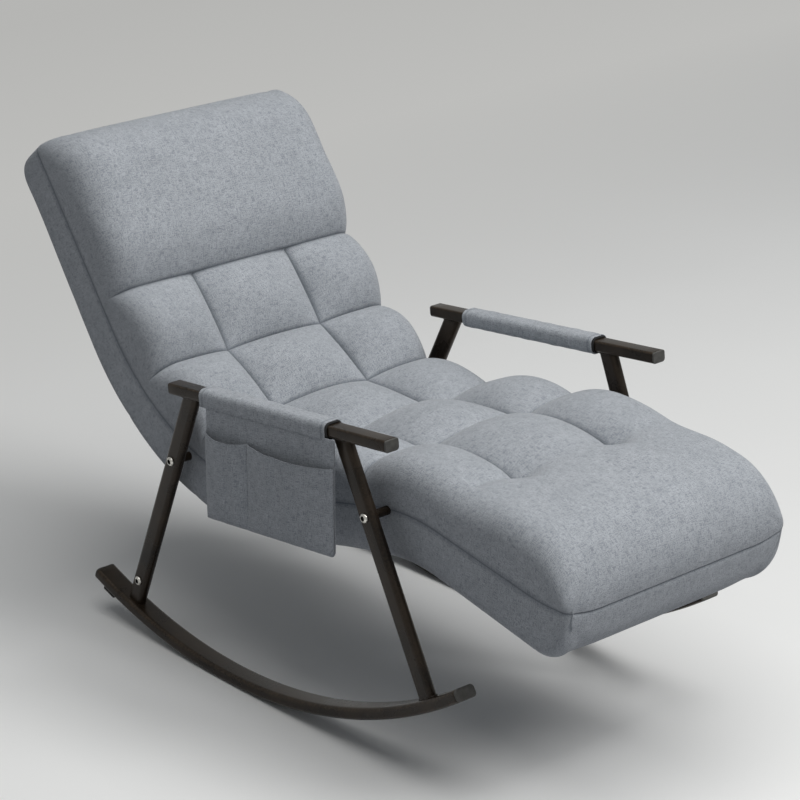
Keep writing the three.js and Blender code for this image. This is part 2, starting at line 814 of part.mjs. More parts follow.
for (const { name, sign } of sides) {
  const end = sleeveStart + sleeveLength;
  const foam = padTube(sign, [fit, armCorner + fit], [foamReach, padCorner], end + foamShown);
  const sleeve = padTube(sign, [foamReach + fit, padCorner + fit], [sleeveReach, sleeveCorner], end);
  add(`${name}_arm_foam`, foam, 'foam');
  add(`${name}_arm_sleeve`, sleeve, 'cushion_fabric');
}

// Legs
// Each leg's middle line passes through its bolt on the seat frame, leans in the side view, and
// runs from under the arm bar to the top of the runner.
const legSteps = 3;

function legLine(centre, leanDegrees) {
  const lean = Math.tan(radians(leanDegrees));
  const down = (height) => centre.y + lean * (centre.z - height);
  // the arm bar's middle line: height = rear height + (rear depth - depth) * tan(slope)
  const rise = Math.tan(armSlope);
  const top = (armRearHeight + (armRearDepth - centre.y - lean * centre.z) * rise) / (1 - lean * rise);
  // the runner's middle curve: a circle about (0, runner radius)
  let bottom = runnerThickness;
  for (let round = 0; round < 20; round += 1) {
    bottom = runnerRadius - Math.sqrt(runnerMidRadius ** 2 - down(bottom) ** 2);
  }
  return { top: { depth: down(top), height: top }, bottom: { depth: down(bottom), height: bottom } };
}

function legEnds(sign, centre, lean) {
  const line = legLine(centre, lean);
  const high = new THREE.Vector3(sign * armX, line.top.depth, line.top.height);
  const low = new THREE.Vector3(sign * runnerX, line.bottom.depth, line.bottom.height);
  return { high, low };
}

function legFrame(sign, centre, lean) {
  const { high, low } = legEnds(sign, centre, lean);
  const along = low.clone().sub(high);
  const length = along.length();
  along.normalize();
  const side = acrossX.clone().addScaledVector(along, -acrossX.dot(along)).normalize();
  const flat = new THREE.Vector3().crossVectors(along, side);
  const frame = (point, distance) => high.clone()
    .addScaledVector(side, point.x).addScaledVector(flat, point.y).addScaledVector(along, distance);
  return { frame, length };
}

// The leg's middle in X at a height
function legX(sign, centre, lean, height) {
  const { high, low } = legEnds(sign, centre, lean);
  return THREE.MathUtils.lerp(high.x, low.x, (high.z - height) / (high.z - low.z));
}

const footBoltRise = 60;
const socketRise = 85;

for (const { name, sign } of sides) {
  for (const { end, centre, lean } of bolts) {
    const { frame, length } = legFrame(sign, centre, lean);
    const round = legThickness / 2;
    const outer = barOutline(legThickness, legWidth, round, legSteps);
    const inner = barOutline(
      legThickness - 2 * legWall, legWidth - 2 * legWall, round - legWall, legSteps);
    const reach = [0, length];
    const tube = tubeLoft(straightLoops(frame, outer, reach), straightLoops(frame, inner, reach));
    const foot = frame(new THREE.Vector2(0, 0), length - footBoltRise);
    const under = runnerTool(sign);
    const tools = [armTool(sign), under, crossHole(sign, centre)];
    if (end === 'rear') tools.push(crossHole(sign, foot));
    add(`${name}_${end}_leg`, cut(tube, tools), 'frame_paint');

    if (end === 'rear') {
      const hollow = legWall + fit;
      const core = barOutline(
        legThickness - 2 * hollow, legWidth - 2 * hollow, round - hollow, legSteps);
      const stub = loft(straightLoops(frame, core, [length - socketRise, length]));
      add(`${name}_rear_leg_socket`, cut(stub, [under, crossHole(sign, foot)]), 'frame_paint');
    }
  }
}

function armTool(sign) {
  return loft(armLoops(sign, armOutline(-fit), [-overrun, armLength + overrun]));
}

function runnerTool(sign) {
  return loft(runnerLoops(sign, runnerOutline(-fit), runnerAngles()));
}

function crossHole(sign, centre) {
  const reach = 2 * legWidth;
  const bore = boltRadius + fit;
  const start = new THREE.Vector3(sign * (armX - reach), centre.y, centre.z);
  return turned([[0, 0], [bore, 0], [bore, 2 * reach], [0, 2 * reach]], boltSides, start, sign);
}

// Bolts and bosses
// A boss on each rail comes out through the cushion's side to the leg, and a bolt goes through
// the leg into it. The rear legs' feet are bolted to their sockets.
const headRadius = 8;
const headHeight = 4.5;
const recessRadius = 3;
const recessDepth = 2.5;
const leanAllowance = bossRadius * (armX - runnerX) / armRearHeight;

function boltProfile(shank) {
  return [[0, -shank], [boltRadius, -shank], [boltRadius, 0], [headRadius, 0],
    [headRadius, headHeight / 3], [headRadius * 2 / 3, headHeight], [recessRadius, headHeight],
    [recessRadius, headHeight - recessDepth], [0, headHeight - recessDepth]];
}

for (const { name, sign } of sides) {
  for (const { end, at, centre, lean } of bolts) {
    const x = Math.abs(legX(sign, centre, lean, centre.z));
    const start = bossStart(at);
    const inside = x - legThickness / 2 - fit - leanAllowance;
    const outside = x + legThickness / 2 + fit + leanAllowance;
    const bore = boltRadius + fit;
    const profile = bossProfile(bore, inside - start, 0);
    const bossAt = new THREE.Vector3(sign * start, centre.y, centre.z);
    const boltAt = new THREE.Vector3(sign * outside, centre.y, centre.z);
    const boss = turned([...profile, profile[0]], boltSides, bossAt, sign);
    add(`${name}_${end}_frame_boss`, boss, 'frame_paint');
    const bolt = turned(boltProfile(outside - start), boltSides, boltAt, sign);
    add(`${name}_${end}_frame_bolt`, bolt, 'bolt_steel');
    if (end === 'rear') {
      const { frame, length } = legFrame(sign, centre, lean);
      const foot = frame(new THREE.Vector2(0, 0), length - footBoltRise);
      const head = Math.abs(foot.x) + legThickness / 2 + fit + leanAllowance;
      const headAt = new THREE.Vector3(sign * head, foot.y, foot.z);
      const footBolt = turned(boltProfile(legThickness), boltSides, headAt, sign);
      add(`${name}_rear_foot_bolt`, footBolt, 'bolt_steel');
    }
  }
}

// Side pocket
// A fabric panel sewn to the outer side of the right sleeve hangs from its seam. A narrow and a
// wide pouch are sewn to its outer face.
const panelThickness = 2.5;
const pocketRear = 2;
const pocketWidth = 320;
const panelDrop = 195.5;
const pouchDrop = 44;
const pouchDepth = 16;
const pouchWall = 2;
const pouchSplit = 108;
const seamInset = 2.2;
const seamBelowArm = armThickness / 2 + sleeveReach - sleeveCorner + fit
  + Math.sqrt(sleeveCorner ** 2 - (sleeveCorner - seamInset) ** 2);

const panelInner = -(armX + armWidth / 2 + sleeveReach - seamInset);
const panelOuter = panelInner - panelThickness;

function seamHeight(depth) {
  const middle = armRearHeight + (armRearDepth - depth) * Math.tan(armSlope);
  return middle - seamBelowArm / Math.cos(armSlope);
}

function hanging(rear, front, from, to) {
  return [[rear, seamHeight(rear) - from], [rear, seamHeight(rear) - to],
    [front, seamHeight(front) - to], [front, seamHeight(front) - from]];
}

const pocketFront = pocketRear - pocketWidth;
add('pocket_back_panel',
  slab(hanging(pocketRear, pocketFront, 0, panelDrop), panelOuter, panelInner), 'cushion_fabric');

const pouches = [['narrow', pocketRear, pocketRear - pouchSplit + fit / 2],
  ['wide', pocketRear - pouchSplit - fit / 2, pocketFront]];
for (const [name, rear, front] of pouches) {
  const outer = panelOuter - fit - pouchDepth;
  const block = slab(hanging(rear, front, pouchDrop, panelDrop), outer, panelOuter - fit);
  const room = slab(hanging(rear - pouchWall, front + pouchWall, pouchDrop - overrun,
    panelDrop - pouchWall), outer + pouchWall, panelOuter + overrun);
  add(`pocket_${name}_pouch`, cut(block, [room]), 'cushion_fabric');
}

// The chair stands with the middle of its footprint at the origin.
chair.updateMatrixWorld(true);
const extent = new THREE.Box3().setFromObject(chair, true);
const middle = extent.getCenter(new THREE.Vector3());
for (const mesh of chair.children) {
  mesh.geometry.translate(-middle.x, -middle.y, -extent.min.z);
}

export default chair;
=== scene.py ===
import math

import bmesh
import bpy
import numpy as np
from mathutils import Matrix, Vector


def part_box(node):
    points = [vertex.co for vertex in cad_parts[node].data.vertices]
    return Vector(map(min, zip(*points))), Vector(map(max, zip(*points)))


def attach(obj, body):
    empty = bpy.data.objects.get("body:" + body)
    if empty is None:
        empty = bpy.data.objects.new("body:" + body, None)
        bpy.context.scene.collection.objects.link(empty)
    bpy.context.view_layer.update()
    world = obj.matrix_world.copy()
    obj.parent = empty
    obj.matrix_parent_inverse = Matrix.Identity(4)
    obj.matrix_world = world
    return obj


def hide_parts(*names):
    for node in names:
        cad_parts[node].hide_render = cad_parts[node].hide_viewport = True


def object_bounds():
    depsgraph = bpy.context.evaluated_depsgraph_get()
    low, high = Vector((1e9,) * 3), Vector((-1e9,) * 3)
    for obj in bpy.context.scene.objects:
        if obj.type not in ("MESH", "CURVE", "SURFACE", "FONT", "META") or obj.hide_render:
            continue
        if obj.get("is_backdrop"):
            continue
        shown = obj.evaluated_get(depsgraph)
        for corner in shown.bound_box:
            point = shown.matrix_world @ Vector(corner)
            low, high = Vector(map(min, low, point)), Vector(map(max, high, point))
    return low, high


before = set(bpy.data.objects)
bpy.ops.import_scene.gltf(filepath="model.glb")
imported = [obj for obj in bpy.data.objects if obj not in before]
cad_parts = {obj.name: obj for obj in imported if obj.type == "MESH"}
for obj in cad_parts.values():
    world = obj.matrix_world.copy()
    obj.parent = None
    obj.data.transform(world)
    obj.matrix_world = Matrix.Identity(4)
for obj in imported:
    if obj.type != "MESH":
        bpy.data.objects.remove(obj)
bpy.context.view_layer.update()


# Runners
# Two flat-oval steel tubes, 40 by 21 mm, rolled to one long curve that stands on the floor and
# lets the chair rock. Bronze-black powder coat, a little paler along the rounded edges: partly
# wear, partly painted highlight.
chair_zero = np.array([8.3, 87.9105, 0.0])  # where the chair's own zero lies in the scene, mm
runner_radius, runner_width, runner_height, runner_side = 1020.0, 40.0, 21.0, 271.0
runner_front, runner_rear = math.radians(-34.8), math.radians(20.6)
runner_middle = runner_radius - runner_height / 2
to_a_point = 1e9  # an inset that draws any outline in to its middle


def bar_outline(width, height, corners, steps=7):
    """Loop of a bar's section, anticlockwise from its right side: four quarter circles (upper
    right, upper left, lower left, lower right) joined by flats. Also how near each point is to
    the middle of a corner, from 0 to 1."""
    quarter = np.repeat(np.arange(4), steps + 1)
    turn = np.tile(np.arange(steps + 1) / steps, 4)
    radius = np.broadcast_to(np.asarray(corners, float), 4)[quarter]
    angle = (quarter + turn) * np.pi / 2
    x = np.array([1, -1, -1, 1])[quarter] * (width / 2 - radius) + radius * np.cos(angle)
    y = np.array([1, 1, -1, -1])[quarter] * (height / 2 - radius) + radius * np.sin(angle)
    return np.stack([x, y], -1), np.sin(turn * np.pi)


def bar_rows(outline, start, end, count, edge, steps=4):
    """Rows of a closed bar from start to end: a pole, a flat end, a quarter-round edge, count
    equal steps along, and the same again. Each row is the outline scaled towards its middle."""
    half = np.abs(outline).max(0)
    turn = np.arange(steps + 1) / steps * np.pi / 2
    inset = np.concatenate([[to_a_point], edge * (1 - np.sin(turn))])
    rise = np.concatenate([[0], edge * (1 - np.cos(turn))])
    middle = np.linspace(start + edge, end - edge, count + 1)[1:-1]
    insets = np.concatenate([inset, np.zeros(len(middle)), inset[::-1]])
    places = np.concatenate([start + rise, middle, end - rise[::-1]])
    scale = np.clip(1 - insets[:, None] / half, 0, 1)
    return outline[None] * scale[:, None, :], places, np.clip(insets, 0, edge) / edge


def skin(name, grid, ring=True, marks=None, sharp=35):
    """Mesh over a grid of points in mm from the chair's zero: rows run along the piece and
    columns round it, and each cell is one face. A row of equal points closes an end. The UV map
    is metres round the piece and metres along it. marks are named values, one for each point."""
    rows, columns = grid.shape[:2]
    index = np.arange(rows * columns).reshape(rows, columns)
    span = columns if ring else columns - 1
    i, j = np.meshgrid(np.arange(rows - 1), np.arange(span), indexing="ij")
    k = (j + 1) % columns
    faces = np.stack([index[i, j], index[i, k], index[i + 1, k], index[i + 1, j]], -1).reshape(-1, 4)
    points = (grid.reshape(-1, 3) + chair_zero) / 1000
    mesh = bpy.data.meshes.new(name)
    mesh.vertices.add(rows * columns)
    mesh.vertices.foreach_set("co", points.astype(np.float32).ravel())
    mesh.loops.add(faces.size)
    mesh.loops.foreach_set("vertex_index", faces.astype(np.int32).ravel())
    mesh.polygons.add(len(faces))
    mesh.polygons.foreach_set("loop_start", np.arange(0, faces.size, 4, dtype=np.int32))
    mesh.update(calc_edges=True)
    wide = np.concatenate([grid, grid[:, :1]], 1) if ring else grid
    round_it = np.linalg.norm(np.diff(wide, axis=1), axis=-1).max(0)
    along = np.linalg.norm(np.diff(grid, axis=0), axis=-1).max(1)
    round_it = np.concatenate([[0], np.cumsum(round_it)]) / 1000
    along = np.concatenate([[0], np.cumsum(along)]) / 1000
    corners = [(i, j), (i, j + 1), (i + 1, j + 1), (i + 1, j)]
    uv = np.stack([np.stack([round_it[b], along[a]], -1) for a, b in corners], -2)
    mesh.uv_layers.new(name="cloth").data.foreach_set("uv", uv.astype(np.float32).ravel())
    for mark, values in (marks or {}).items():
        spread = np.broadcast_to(values, (rows, columns)).astype(np.float32).ravel()
        mesh.attributes.new(mark, "FLOAT", "POINT").data.foreach_set("value", spread)
    work = bmesh.new()
    work.from_mesh(mesh)
    bmesh.ops.remove_doubles(work, verts=work.verts, dist=1e-6)
    bmesh.ops.recalc_face_normals(work, faces=work.faces)
    work.to_mesh(mesh)
    work.free()
    mesh.shade_smooth()
    mesh.set_sharp_from_angle(angle=math.radians(sharp))
    piece = bpy.data.objects.new(name, mesh)
    bpy.context.scene.collection.objects.link(piece)
    return piece


def mount(piece, material, body="chair", nodes=()):
    """Gives a piece its finish and its body, and hides the solids it stands for."""
    piece.data.materials.append(material)
    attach(piece, body)
    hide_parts(*nodes)


def colour(red, green, blue):
    """Linear colour of an sRGB one given from 0 to 255."""
    return (*[(c / 255) ** 2.2 for c in (red, green, blue)], 1.0)


def new_finish(name, roughness, metallic=0.0):
    """A material with its node tree and shader."""
    material = bpy.data.materials.new(name)
    material.use_nodes = True
    shader = material.node_tree.nodes["Principled BSDF"]
    shader.inputs["Roughness"].default_value = roughness
    shader.inputs["Metallic"].default_value = metallic
    return material, material.node_tree, shader


def node(tree, kind, inputs=(), **settings):
    """A new shader node. inputs are pairs of a socket and its value or the output it takes."""
    made = tree.nodes.new("ShaderNode" + kind)
    for key, value in settings.items():
        setattr(made, key, value)
    for socket, value in inputs:
        if isinstance(value, bpy.types.NodeSocket):
            tree.links.new(value, made.inputs[socket])
        else:
            made.inputs[socket].default_value = value
    return made


def grain(tree, where, size, detail=2.0, stretch=(1, 1, 1)):
    """Noise whose cells are about size metres across, longer along an axis where stretch is."""
    scale = tuple(1 / (size * s) for s in stretch)
    turned = node(tree, "Mapping", [("Vector", where), ("Scale", scale)])
    made = node(tree, "TexNoise", [("Vector", turned.outputs[0]), ("Scale", 1.0), ("Detail", detail)])
    return made.outputs["Fac"]


def blend_colour(tree, share, first, second):
    """Mix of two colours by a share."""
    made = node(tree, "Mix", [(0, share), (6, first), (7, second)], data_type="RGBA")
    return made.outputs[2]


def ramp(tree, value, low, high, to_low=0.0, to_high=1.0):
    """A value carried from the range low-high to the range to_low-to_high, held at its ends."""
    made = node(tree, "MapRange", [("Value", value), ("From Min", low), ("From Max", high),
                                   ("To Min", to_low), ("To Max", to_high)])
    return made.outputs[0]


def maths(tree, way, first, second=0.0):
    """Two values brought together: added, multiplied, or the larger of them; or one's sine."""
    return node(tree, "Math", [(0, first), (1, second)], operation=way).outputs[0]


def surfaced(tree, shader, tone, rough):
    """Gives the shader its colour and its roughness."""
    tree.links.new(tone, shader.inputs["Base Color"])
    tree.links.new(rough, shader.inputs["Roughness"])


def raised(tree, shader, height, depth, strength):
    """Bumps the shader's surface by a height from 0 to 1, depth metres deep."""
    made = node(tree, "Bump", [("Height", height), ("Distance", depth), ("Strength", strength)])
    tree.links.new(made.outputs[0], shader.inputs["Normal"])


def powder_coat(name, dark, worn_and_highlit):
    """Powder coat: fine orange-peel grain, slow patches of gloss, and paler paint along the
    edges that is partly wear and partly painted highlight.
    """
    material, tree, shader = new_finish(name, 0.3, 0.25)
    shader.inputs["Specular IOR Level"].default_value = 0.26
    where = node(tree, "TexCoord").outputs["Object"]
    patches = grain(tree, where, 0.06, 3)
    peel = grain(tree, where, 0.0011, 1)
    speck = grain(tree, where, 0.004, 4)
    corner = node(tree, "Attribute", attribute_name="edge").outputs["Fac"]
    # Paler paint along the rounded edges, broken by specks: partly wear, partly painted highlight.
    rubbed_and_highlit = maths(tree, "MULTIPLY", corner, ramp(tree, speck, 0.42, 0.62))
    tone = blend_colour(tree, ramp(tree, patches, 0.3, 0.7, 0.0, 0.45), dark, worn_and_highlit)
    tone = blend_colour(tree, ramp(tree, rubbed_and_highlit, 0, 1, 0, 0.55), tone, worn_and_highlit)
    surfaced(tree, shader, tone, ramp(tree, patches, 0.25, 0.75, 0.22, 0.34))
    raised(tree, shader, peel, 0.00006, 0.4)
    return material


frame_paint = powder_coat("frame_paint", colour(33, 29, 25), colour(78, 66, 54))


def on_runner(side):
    """Carries rows of (across, up) and their angles to points on the runner: an angle is turned
    about the centre of the runner's curve, and up points at that centre."""
    def place(rows, angle):
        reach = runner_middle - rows[..., 1]
        return np.stack([side * runner_side + rows[..., 0], reach * np.sin(angle),
                         runner_radius - reach * np.cos(angle)], -1)
    return place


def swept(name, place, outline, start, end, count, corner, unit=1.0):
    """A closed bar of one outline carried along a path, with the marks of its rounded edges. The
    path takes the distance from start to end, divided by unit."""
    rows, places, rounded = bar_rows(outline, start, end, count, edge=0.5)
    grid = place(rows, places[:, None] / unit)
    # The edge mark makes the paint paler there: partly wear, partly painted highlight.
    return skin(name, grid, marks={"edge": np.maximum(corner[None], rounded[:, None] * 0.9)})


sides = {"right": -1, "left": 1}
runner_outline, runner_corner = bar_outline(runner_width, runner_height, 7)
for side, sign in sides.items():
    tube = swept(f"{side}_runner_tube", on_runner(sign), runner_outline, runner_front * runner_middle,
                 runner_rear * runner_middle, 110, runner_corner, runner_middle)
    mount(tube, frame_paint, nodes=[f"{side}_runner"])


# Runner end plugs
# Moulded plastic caps pushed into the four runner ends, 5 mm thick with a rounded rim. They
# are a greyer tone than the paint and close the tube's end flush.
def moulded(name, light, dark):
    """Moulded plastic: a fine spark-eroded grain, with slightly paler patches."""
    material, tree, shader = new_finish(name, 0.55)
    where = node(tree, "TexCoord").outputs["Object"]
    share = ramp(tree, grain(tree, where, 0.012, 3), 0.35, 0.65)
    rough = ramp(tree, grain(tree, where, 0.02, 2), 0.3, 0.7, 0.48, 0.62)
    surfaced(tree, shader, blend_colour(tree, share, dark, light), rough)
    raised(tree, shader, grain(tree, where, 0.0006, 2), 0.00008, 0.5)
    return material


plug_plastic = moulded("plug_plastic", colour(74, 73, 70), colour(56, 55, 52))


def cap_rows(outline, length, edge, dome):
    """Rows of an end cap: a pole at the joint, a fine groove, the full outline, an elliptic rim
    that is edge deep, and a face that rises by dome towards its middle."""
    turn = np.linspace(0, np.pi / 2, 7)
    half = np.abs(outline).max(0)
    inset = np.concatenate([[to_a_point, 0.7, 0.7, 0.0], edge * (1 - np.cos(turn))])
    place = np.concatenate([[0, 0, 0.5, 0.9], length - edge - dome + edge * np.sin(turn)])
    inner = np.linspace(1, 0, 6)[1:]
    scale = np.concatenate([np.clip(1 - inset[:, None] / half, 0, 1),
                            inner[:, None] * (1 - edge / half)])
    place = np.concatenate([place, length - dome * inner ** 2])
    return outline[None] * scale[:, None, :], place


for side, sign in sides.items():
    for end, angle, way, rim in (("front", runner_front, -1, 2.2), ("rear", runner_rear, 1, 3.6)):
        rows, reach = cap_rows(runner_outline, 5.0, rim, 0.5)
        turned = angle + way * reach[:, None] / runner_middle
        cap = skin(f"{side}_runner_{end}_cap", on_runner(sign)(rows, turned))
        mount(cap, plug_plastic, nodes=[f"{side}_runner_{end}_plug"])


# Rear stops
# Black rubber blocks, 30 by 30 by 8 mm, screwed under the runners' rear ends. They end the
# backward rock, and their soft edges are slightly dusty.
def rubber_like(name, tone, dust, cell, depth):
    """Matt elastic material: a cellular or moulded skin with patches of pale dust."""
    material, tree, shader = new_finish(name, 0.85)
    where = node(tree, "TexCoord").outputs["Object"]
    cells = node(tree, "TexVoronoi", [("Vector", where), ("Scale", 1 / cell)]).outputs["Distance"]
    dusty = ramp(tree, grain(tree, where, 0.008, 4), 0.45, 0.7, 0.0, 0.5)
    tone = blend_colour(tree, dusty, tone, dust)
    surfaced(tree, shader, tone, ramp(tree, dusty, 0, 0.5, 0.78, 0.94))
    raised(tree, shader, cells, depth, 0.7)
    return material


stop_rubber = rubber_like("stop_rubber", colour(24, 24, 24), colour(58, 57, 55), 0.0018, 0.0002)
stop_long, stop_thick, stop_from_end, stop_gap = 30.0, 8.0, 20.0, 0.2
stop_outline, _ = bar_outline(stop_long, stop_thick, 2)
for side, sign in sides.items():
    rows, places, _ = bar_rows(stop_outline, 0, stop_long, count=8, edge=2)
    angle = runner_rear - (stop_from_end + stop_long - places[:, None]) / runner_radius
    rows[..., 1] = rows[..., 1] - (runner_height + stop_thick) / 2 - stop_gap
    grid = on_runner(sign)(rows, angle)
    mount(skin(f"{side}_rear_stop_block", grid), stop_rubber, nodes=[f"{side}_rear_stop"])


# Arm bars
# Flat steel tubes, 28 by 20 mm, that rise 6 degrees to the front, in the same paint as the
# runners. They are welded on top of the legs, and a grey plastic cap closes each end.
arm_side, arm_width, arm_height, arm_length = 290.0, 28.0, 20.0, 540.0
arm_rear = np.array([107.0, 498.4])  # depth and height of the bar's rear end
arm_slope = math.radians(6.35)
arm_forward = np.array([0, -math.cos(arm_slope), math.sin(arm_slope)])
arm_up = np.array([0, math.sin(arm_slope), math.cos(arm_slope)])


def on_arm(side):
    """Carries rows of (across, up) and their distances forward from the arm's rear end to
    points on the arm."""
    start = np.array([side * arm_side, *arm_rear])
    def place(rows, distance):
        return (start + rows[..., :1] * np.array([1, 0, 0]) + rows[..., 1:] * arm_up
                + distance[..., None] * arm_forward)
    return place


arm_outline, arm_corner = bar_outline(arm_width, arm_height, (4, 4, 6, 6))
for side, sign in sides.items():
    bar = swept(f"{side}_arm_tube", on_arm(sign), arm_outline, 0, arm_length, 24, arm_corner)
    mount(bar, frame_paint, nodes=[f"{side}_arm_bar"])
    for end, start, way, rim in (("front", arm_length, 1, 1.8), ("rear", 0, -1, 3.4)):
        rows, reach = cap_rows(arm_outline, 4.0, rim, 0.4)
        distance = start + way * reach[:, None]
        cap = skin(f"{side}_arm_{end}_cap", on_arm(sign)(rows, distance))
        mount(cap, plug_plastic, nodes=[f"{side}_arm_{end}_plug"])


# Legs
# Flat-oval steel tubes, 35 by 18 mm, coped and welded under the arm bars and bolted to the seat
# frame. The front ones are welded to the runners, and the rear ones bolted over sockets there.
leg_width, leg_thick = 35.0, 18.0
sunk_in_arm, sunk_in_runner, bead_radius, bead_proud = 1.0, 0.8, 1.7, 0.6
leg_leans = {"rear": math.tan(math.radians(24.4)), "front": -math.tan(math.radians(24.7))}
leg_outline, leg_corner = bar_outline(leg_thick, leg_width, leg_thick / 2, 10)


def solid_box(node_name):
    """A solid's lowest and highest corners from the chair's zero, in mm."""
    return [np.array(corner) * 1000 - chair_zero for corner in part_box(node_name)]


def leg_axis(side, end):
    """Top and bottom of a leg's middle line, which passes its frame bolt at the leg's lean: on
    the arm bar's middle line above, and on the runner's middle curve below."""
    _, depth, height = sum(solid_box(f"{side}_{end}_frame_bolt")) / 2
    lean, rise = leg_leans[end], math.tan(arm_slope)
    top = (arm_rear[1] + (arm_rear[0] - depth - lean * height) * rise) / (1 - lean * rise)
    low = runner_height
    for _ in range(20):
        low = runner_radius - math.sqrt(runner_middle ** 2 - (depth + lean * (height - low)) ** 2)
    sign = sides[side]
    return (np.array([sign * arm_side, depth + lean * (height - top), top]),
            np.array([sign * runner_side, depth + lean * (height - low), low]))


def coped_leg(side, end):
    """Ends of each line along a leg's skin: where it meets the arm bar's underside, a plane, and
    the runner's top, a cylinder about the middle of the runner's curve."""
    high, low = leg_axis(side, end)
    along = (low - high) / np.linalg.norm(low - high)
    across = np.array([1, 0, 0]) - along[0] * along
    across /= np.linalg.norm(across)
    flat = np.cross(along, across)
    lines = high + leg_outline[:, :1] * across + leg_outline[:, 1:] * flat
    origin = np.array([0, *arm_rear])
    top = (-arm_height / 2 - (lines - origin) @ arm_up) / (along @ arm_up)
    d, o = along[1:], lines[:, 1:] - np.array([0, runner_radius])
    half_b, c = o @ d, (o ** 2).sum(1) - (runner_middle - runner_height / 2) ** 2
    square = d @ d
    bottom = (-half_b + np.sqrt(half_b ** 2 - square * c)) / square
    return lines, along, across, flat, top, bottom


def weld_bead(name, ring, out, along, radius):
    """A bead of rippled weld: a small circle carried round a ring of points, in the plane of the
    ring's outward direction and the tube's length, swelling every 3 mm."""
    ring, out = np.concatenate([ring, ring[:1]]), np.concatenate([out, out[:1]])
    fine = np.linspace(0, len(ring) - 1, 6 * len(ring))
    step = np.clip(fine.astype(int), 0, len(ring) - 2)
    share = (fine - step)[:, None]
    ring = ring[step] * (1 - share) + ring[step + 1] * share
    out = out[step] * (1 - share) + out[step + 1] * share
    length = np.concatenate([[0], np.cumsum(np.linalg.norm(np.diff(ring, axis=0), axis=1))])
    pulses = np.round(length[-1] / 3) / length[-1]
    swell = radius * (0.9 + 0.16 * np.abs(np.sin(np.pi * pulses * length)))
    turn = np.linspace(0, 2 * np.pi, 11)[:-1]
    grid = ring[:, None] + swell[:, None, None] * (
        np.cos(turn)[:, None] * out[:, None] + np.sin(turn)[:, None] * along)
    return skin(name, grid, sharp=80)


for side, sign in sides.items():
    for end in leg_leans:
        lines, along, across, flat, top, bottom = coped_leg(side, end)
        share = np.linspace(0, 1, 26)[:, None]
        reach = (top - sunk_in_arm) * (1 - share) + (bottom + sunk_in_runner) * share
        body = lines[None] + reach[..., None] * along
        grid = np.concatenate([body[:1].mean(1, keepdims=True).repeat(len(lines), 1), body,
                               body[-1:].mean(1, keepdims=True).repeat(len(lines), 1)])
        # The edge mark makes the paint paler there: partly wear, partly painted highlight.
        leg = skin(f"{side}_{end}_leg_tube", grid, marks={"edge": leg_corner[None] * 0.35})
        mount(leg, frame_paint, nodes=[f"{side}_{end}_leg"])
        out = leg_outline / np.array([leg_thick, leg_width]) / 0.5
        out = out[:, :1] * across + out[:, 1:] * flat
        out /= np.linalg.norm(out, axis=1)[:, None]
        welds = [("arm", lines + (top + bead_proud)[:, None] * along)]
        if end == "front":
            welds.append(("runner", lines + (bottom - bead_proud)[:, None] * along))
        for place, ring in welds:
            bead = weld_bead(f"{side}_{end}_{place}_weld", ring, out, along, bead_radius)
            mount(bead, frame_paint)


# Foam tubes
# Black closed-cell foam, some 3 mm thick, round each arm bar under its sleeve. Its front end shows
# as a black ring between the sleeve and the bare bar.
foam_inner, foam_outer = 0.2, 3.5
sleeve_start, sleeve_length, foam_shown = 88.0, 317.0, 3.0
foam_skin = rubber_like("foam_skin", colour(22, 22, 23), colour(40, 40, 41), 0.0009, 0.00025)


def hollow_rows(inner, outer, start, end, count, lip):
    """Rows of a tube with walls: out along the outer loop, over a rounded lip, back along the
    inner loop and over the other lip, where the first row is repeated."""
    turn = np.linspace(0, np.pi, 7)[1:-1]
    wall = (1 + np.cos(turn)) / 2
    rows = np.linspace(start + lip, end - lip, count)
    places = np.concatenate([rows, end - lip + lip * np.sin(turn), rows[::-1],
                             start + lip - lip * np.sin(turn), rows[:1]])
    share = np.concatenate([np.ones(count), wall, np.zeros(count), wall[::-1], [1]])[:, None, None]
    return inner[None] * (1 - share) + outer[None] * share, places, share[:, :, 0]


def grown(reach, corner):
    """The arm bar's outline, grown on all sides by reach."""
    return bar_outline(arm_width + 2 * reach, arm_height + 2 * reach, corner, 9)[0]


for side, sign in sides.items():
    rows, places, _ = hollow_rows(grown(foam_inner, 6.2), grown(foam_outer, 11), sleeve_start + 1,
                                  sleeve_start + sleeve_length + foam_shown, 12, 1.4)
    grid = on_arm(sign)(rows, places[:, None])
    mount(skin(f"{side}_foam_tube", grid), foam_skin, nodes=[f"{side}_arm_foam"])


# Arm sleeves
# Sewn tubes of the cushion's melange linen over the foam, hemmed at both ends. The cloth is
# woven from pale, grey and slate-grey threads, so it looks heathered.
thread_pitch = 0.0022
sleeve_inner, sleeve_outer, hem_from_end, stitch_wide = 3.6, 5.2, 7.0, 1.6


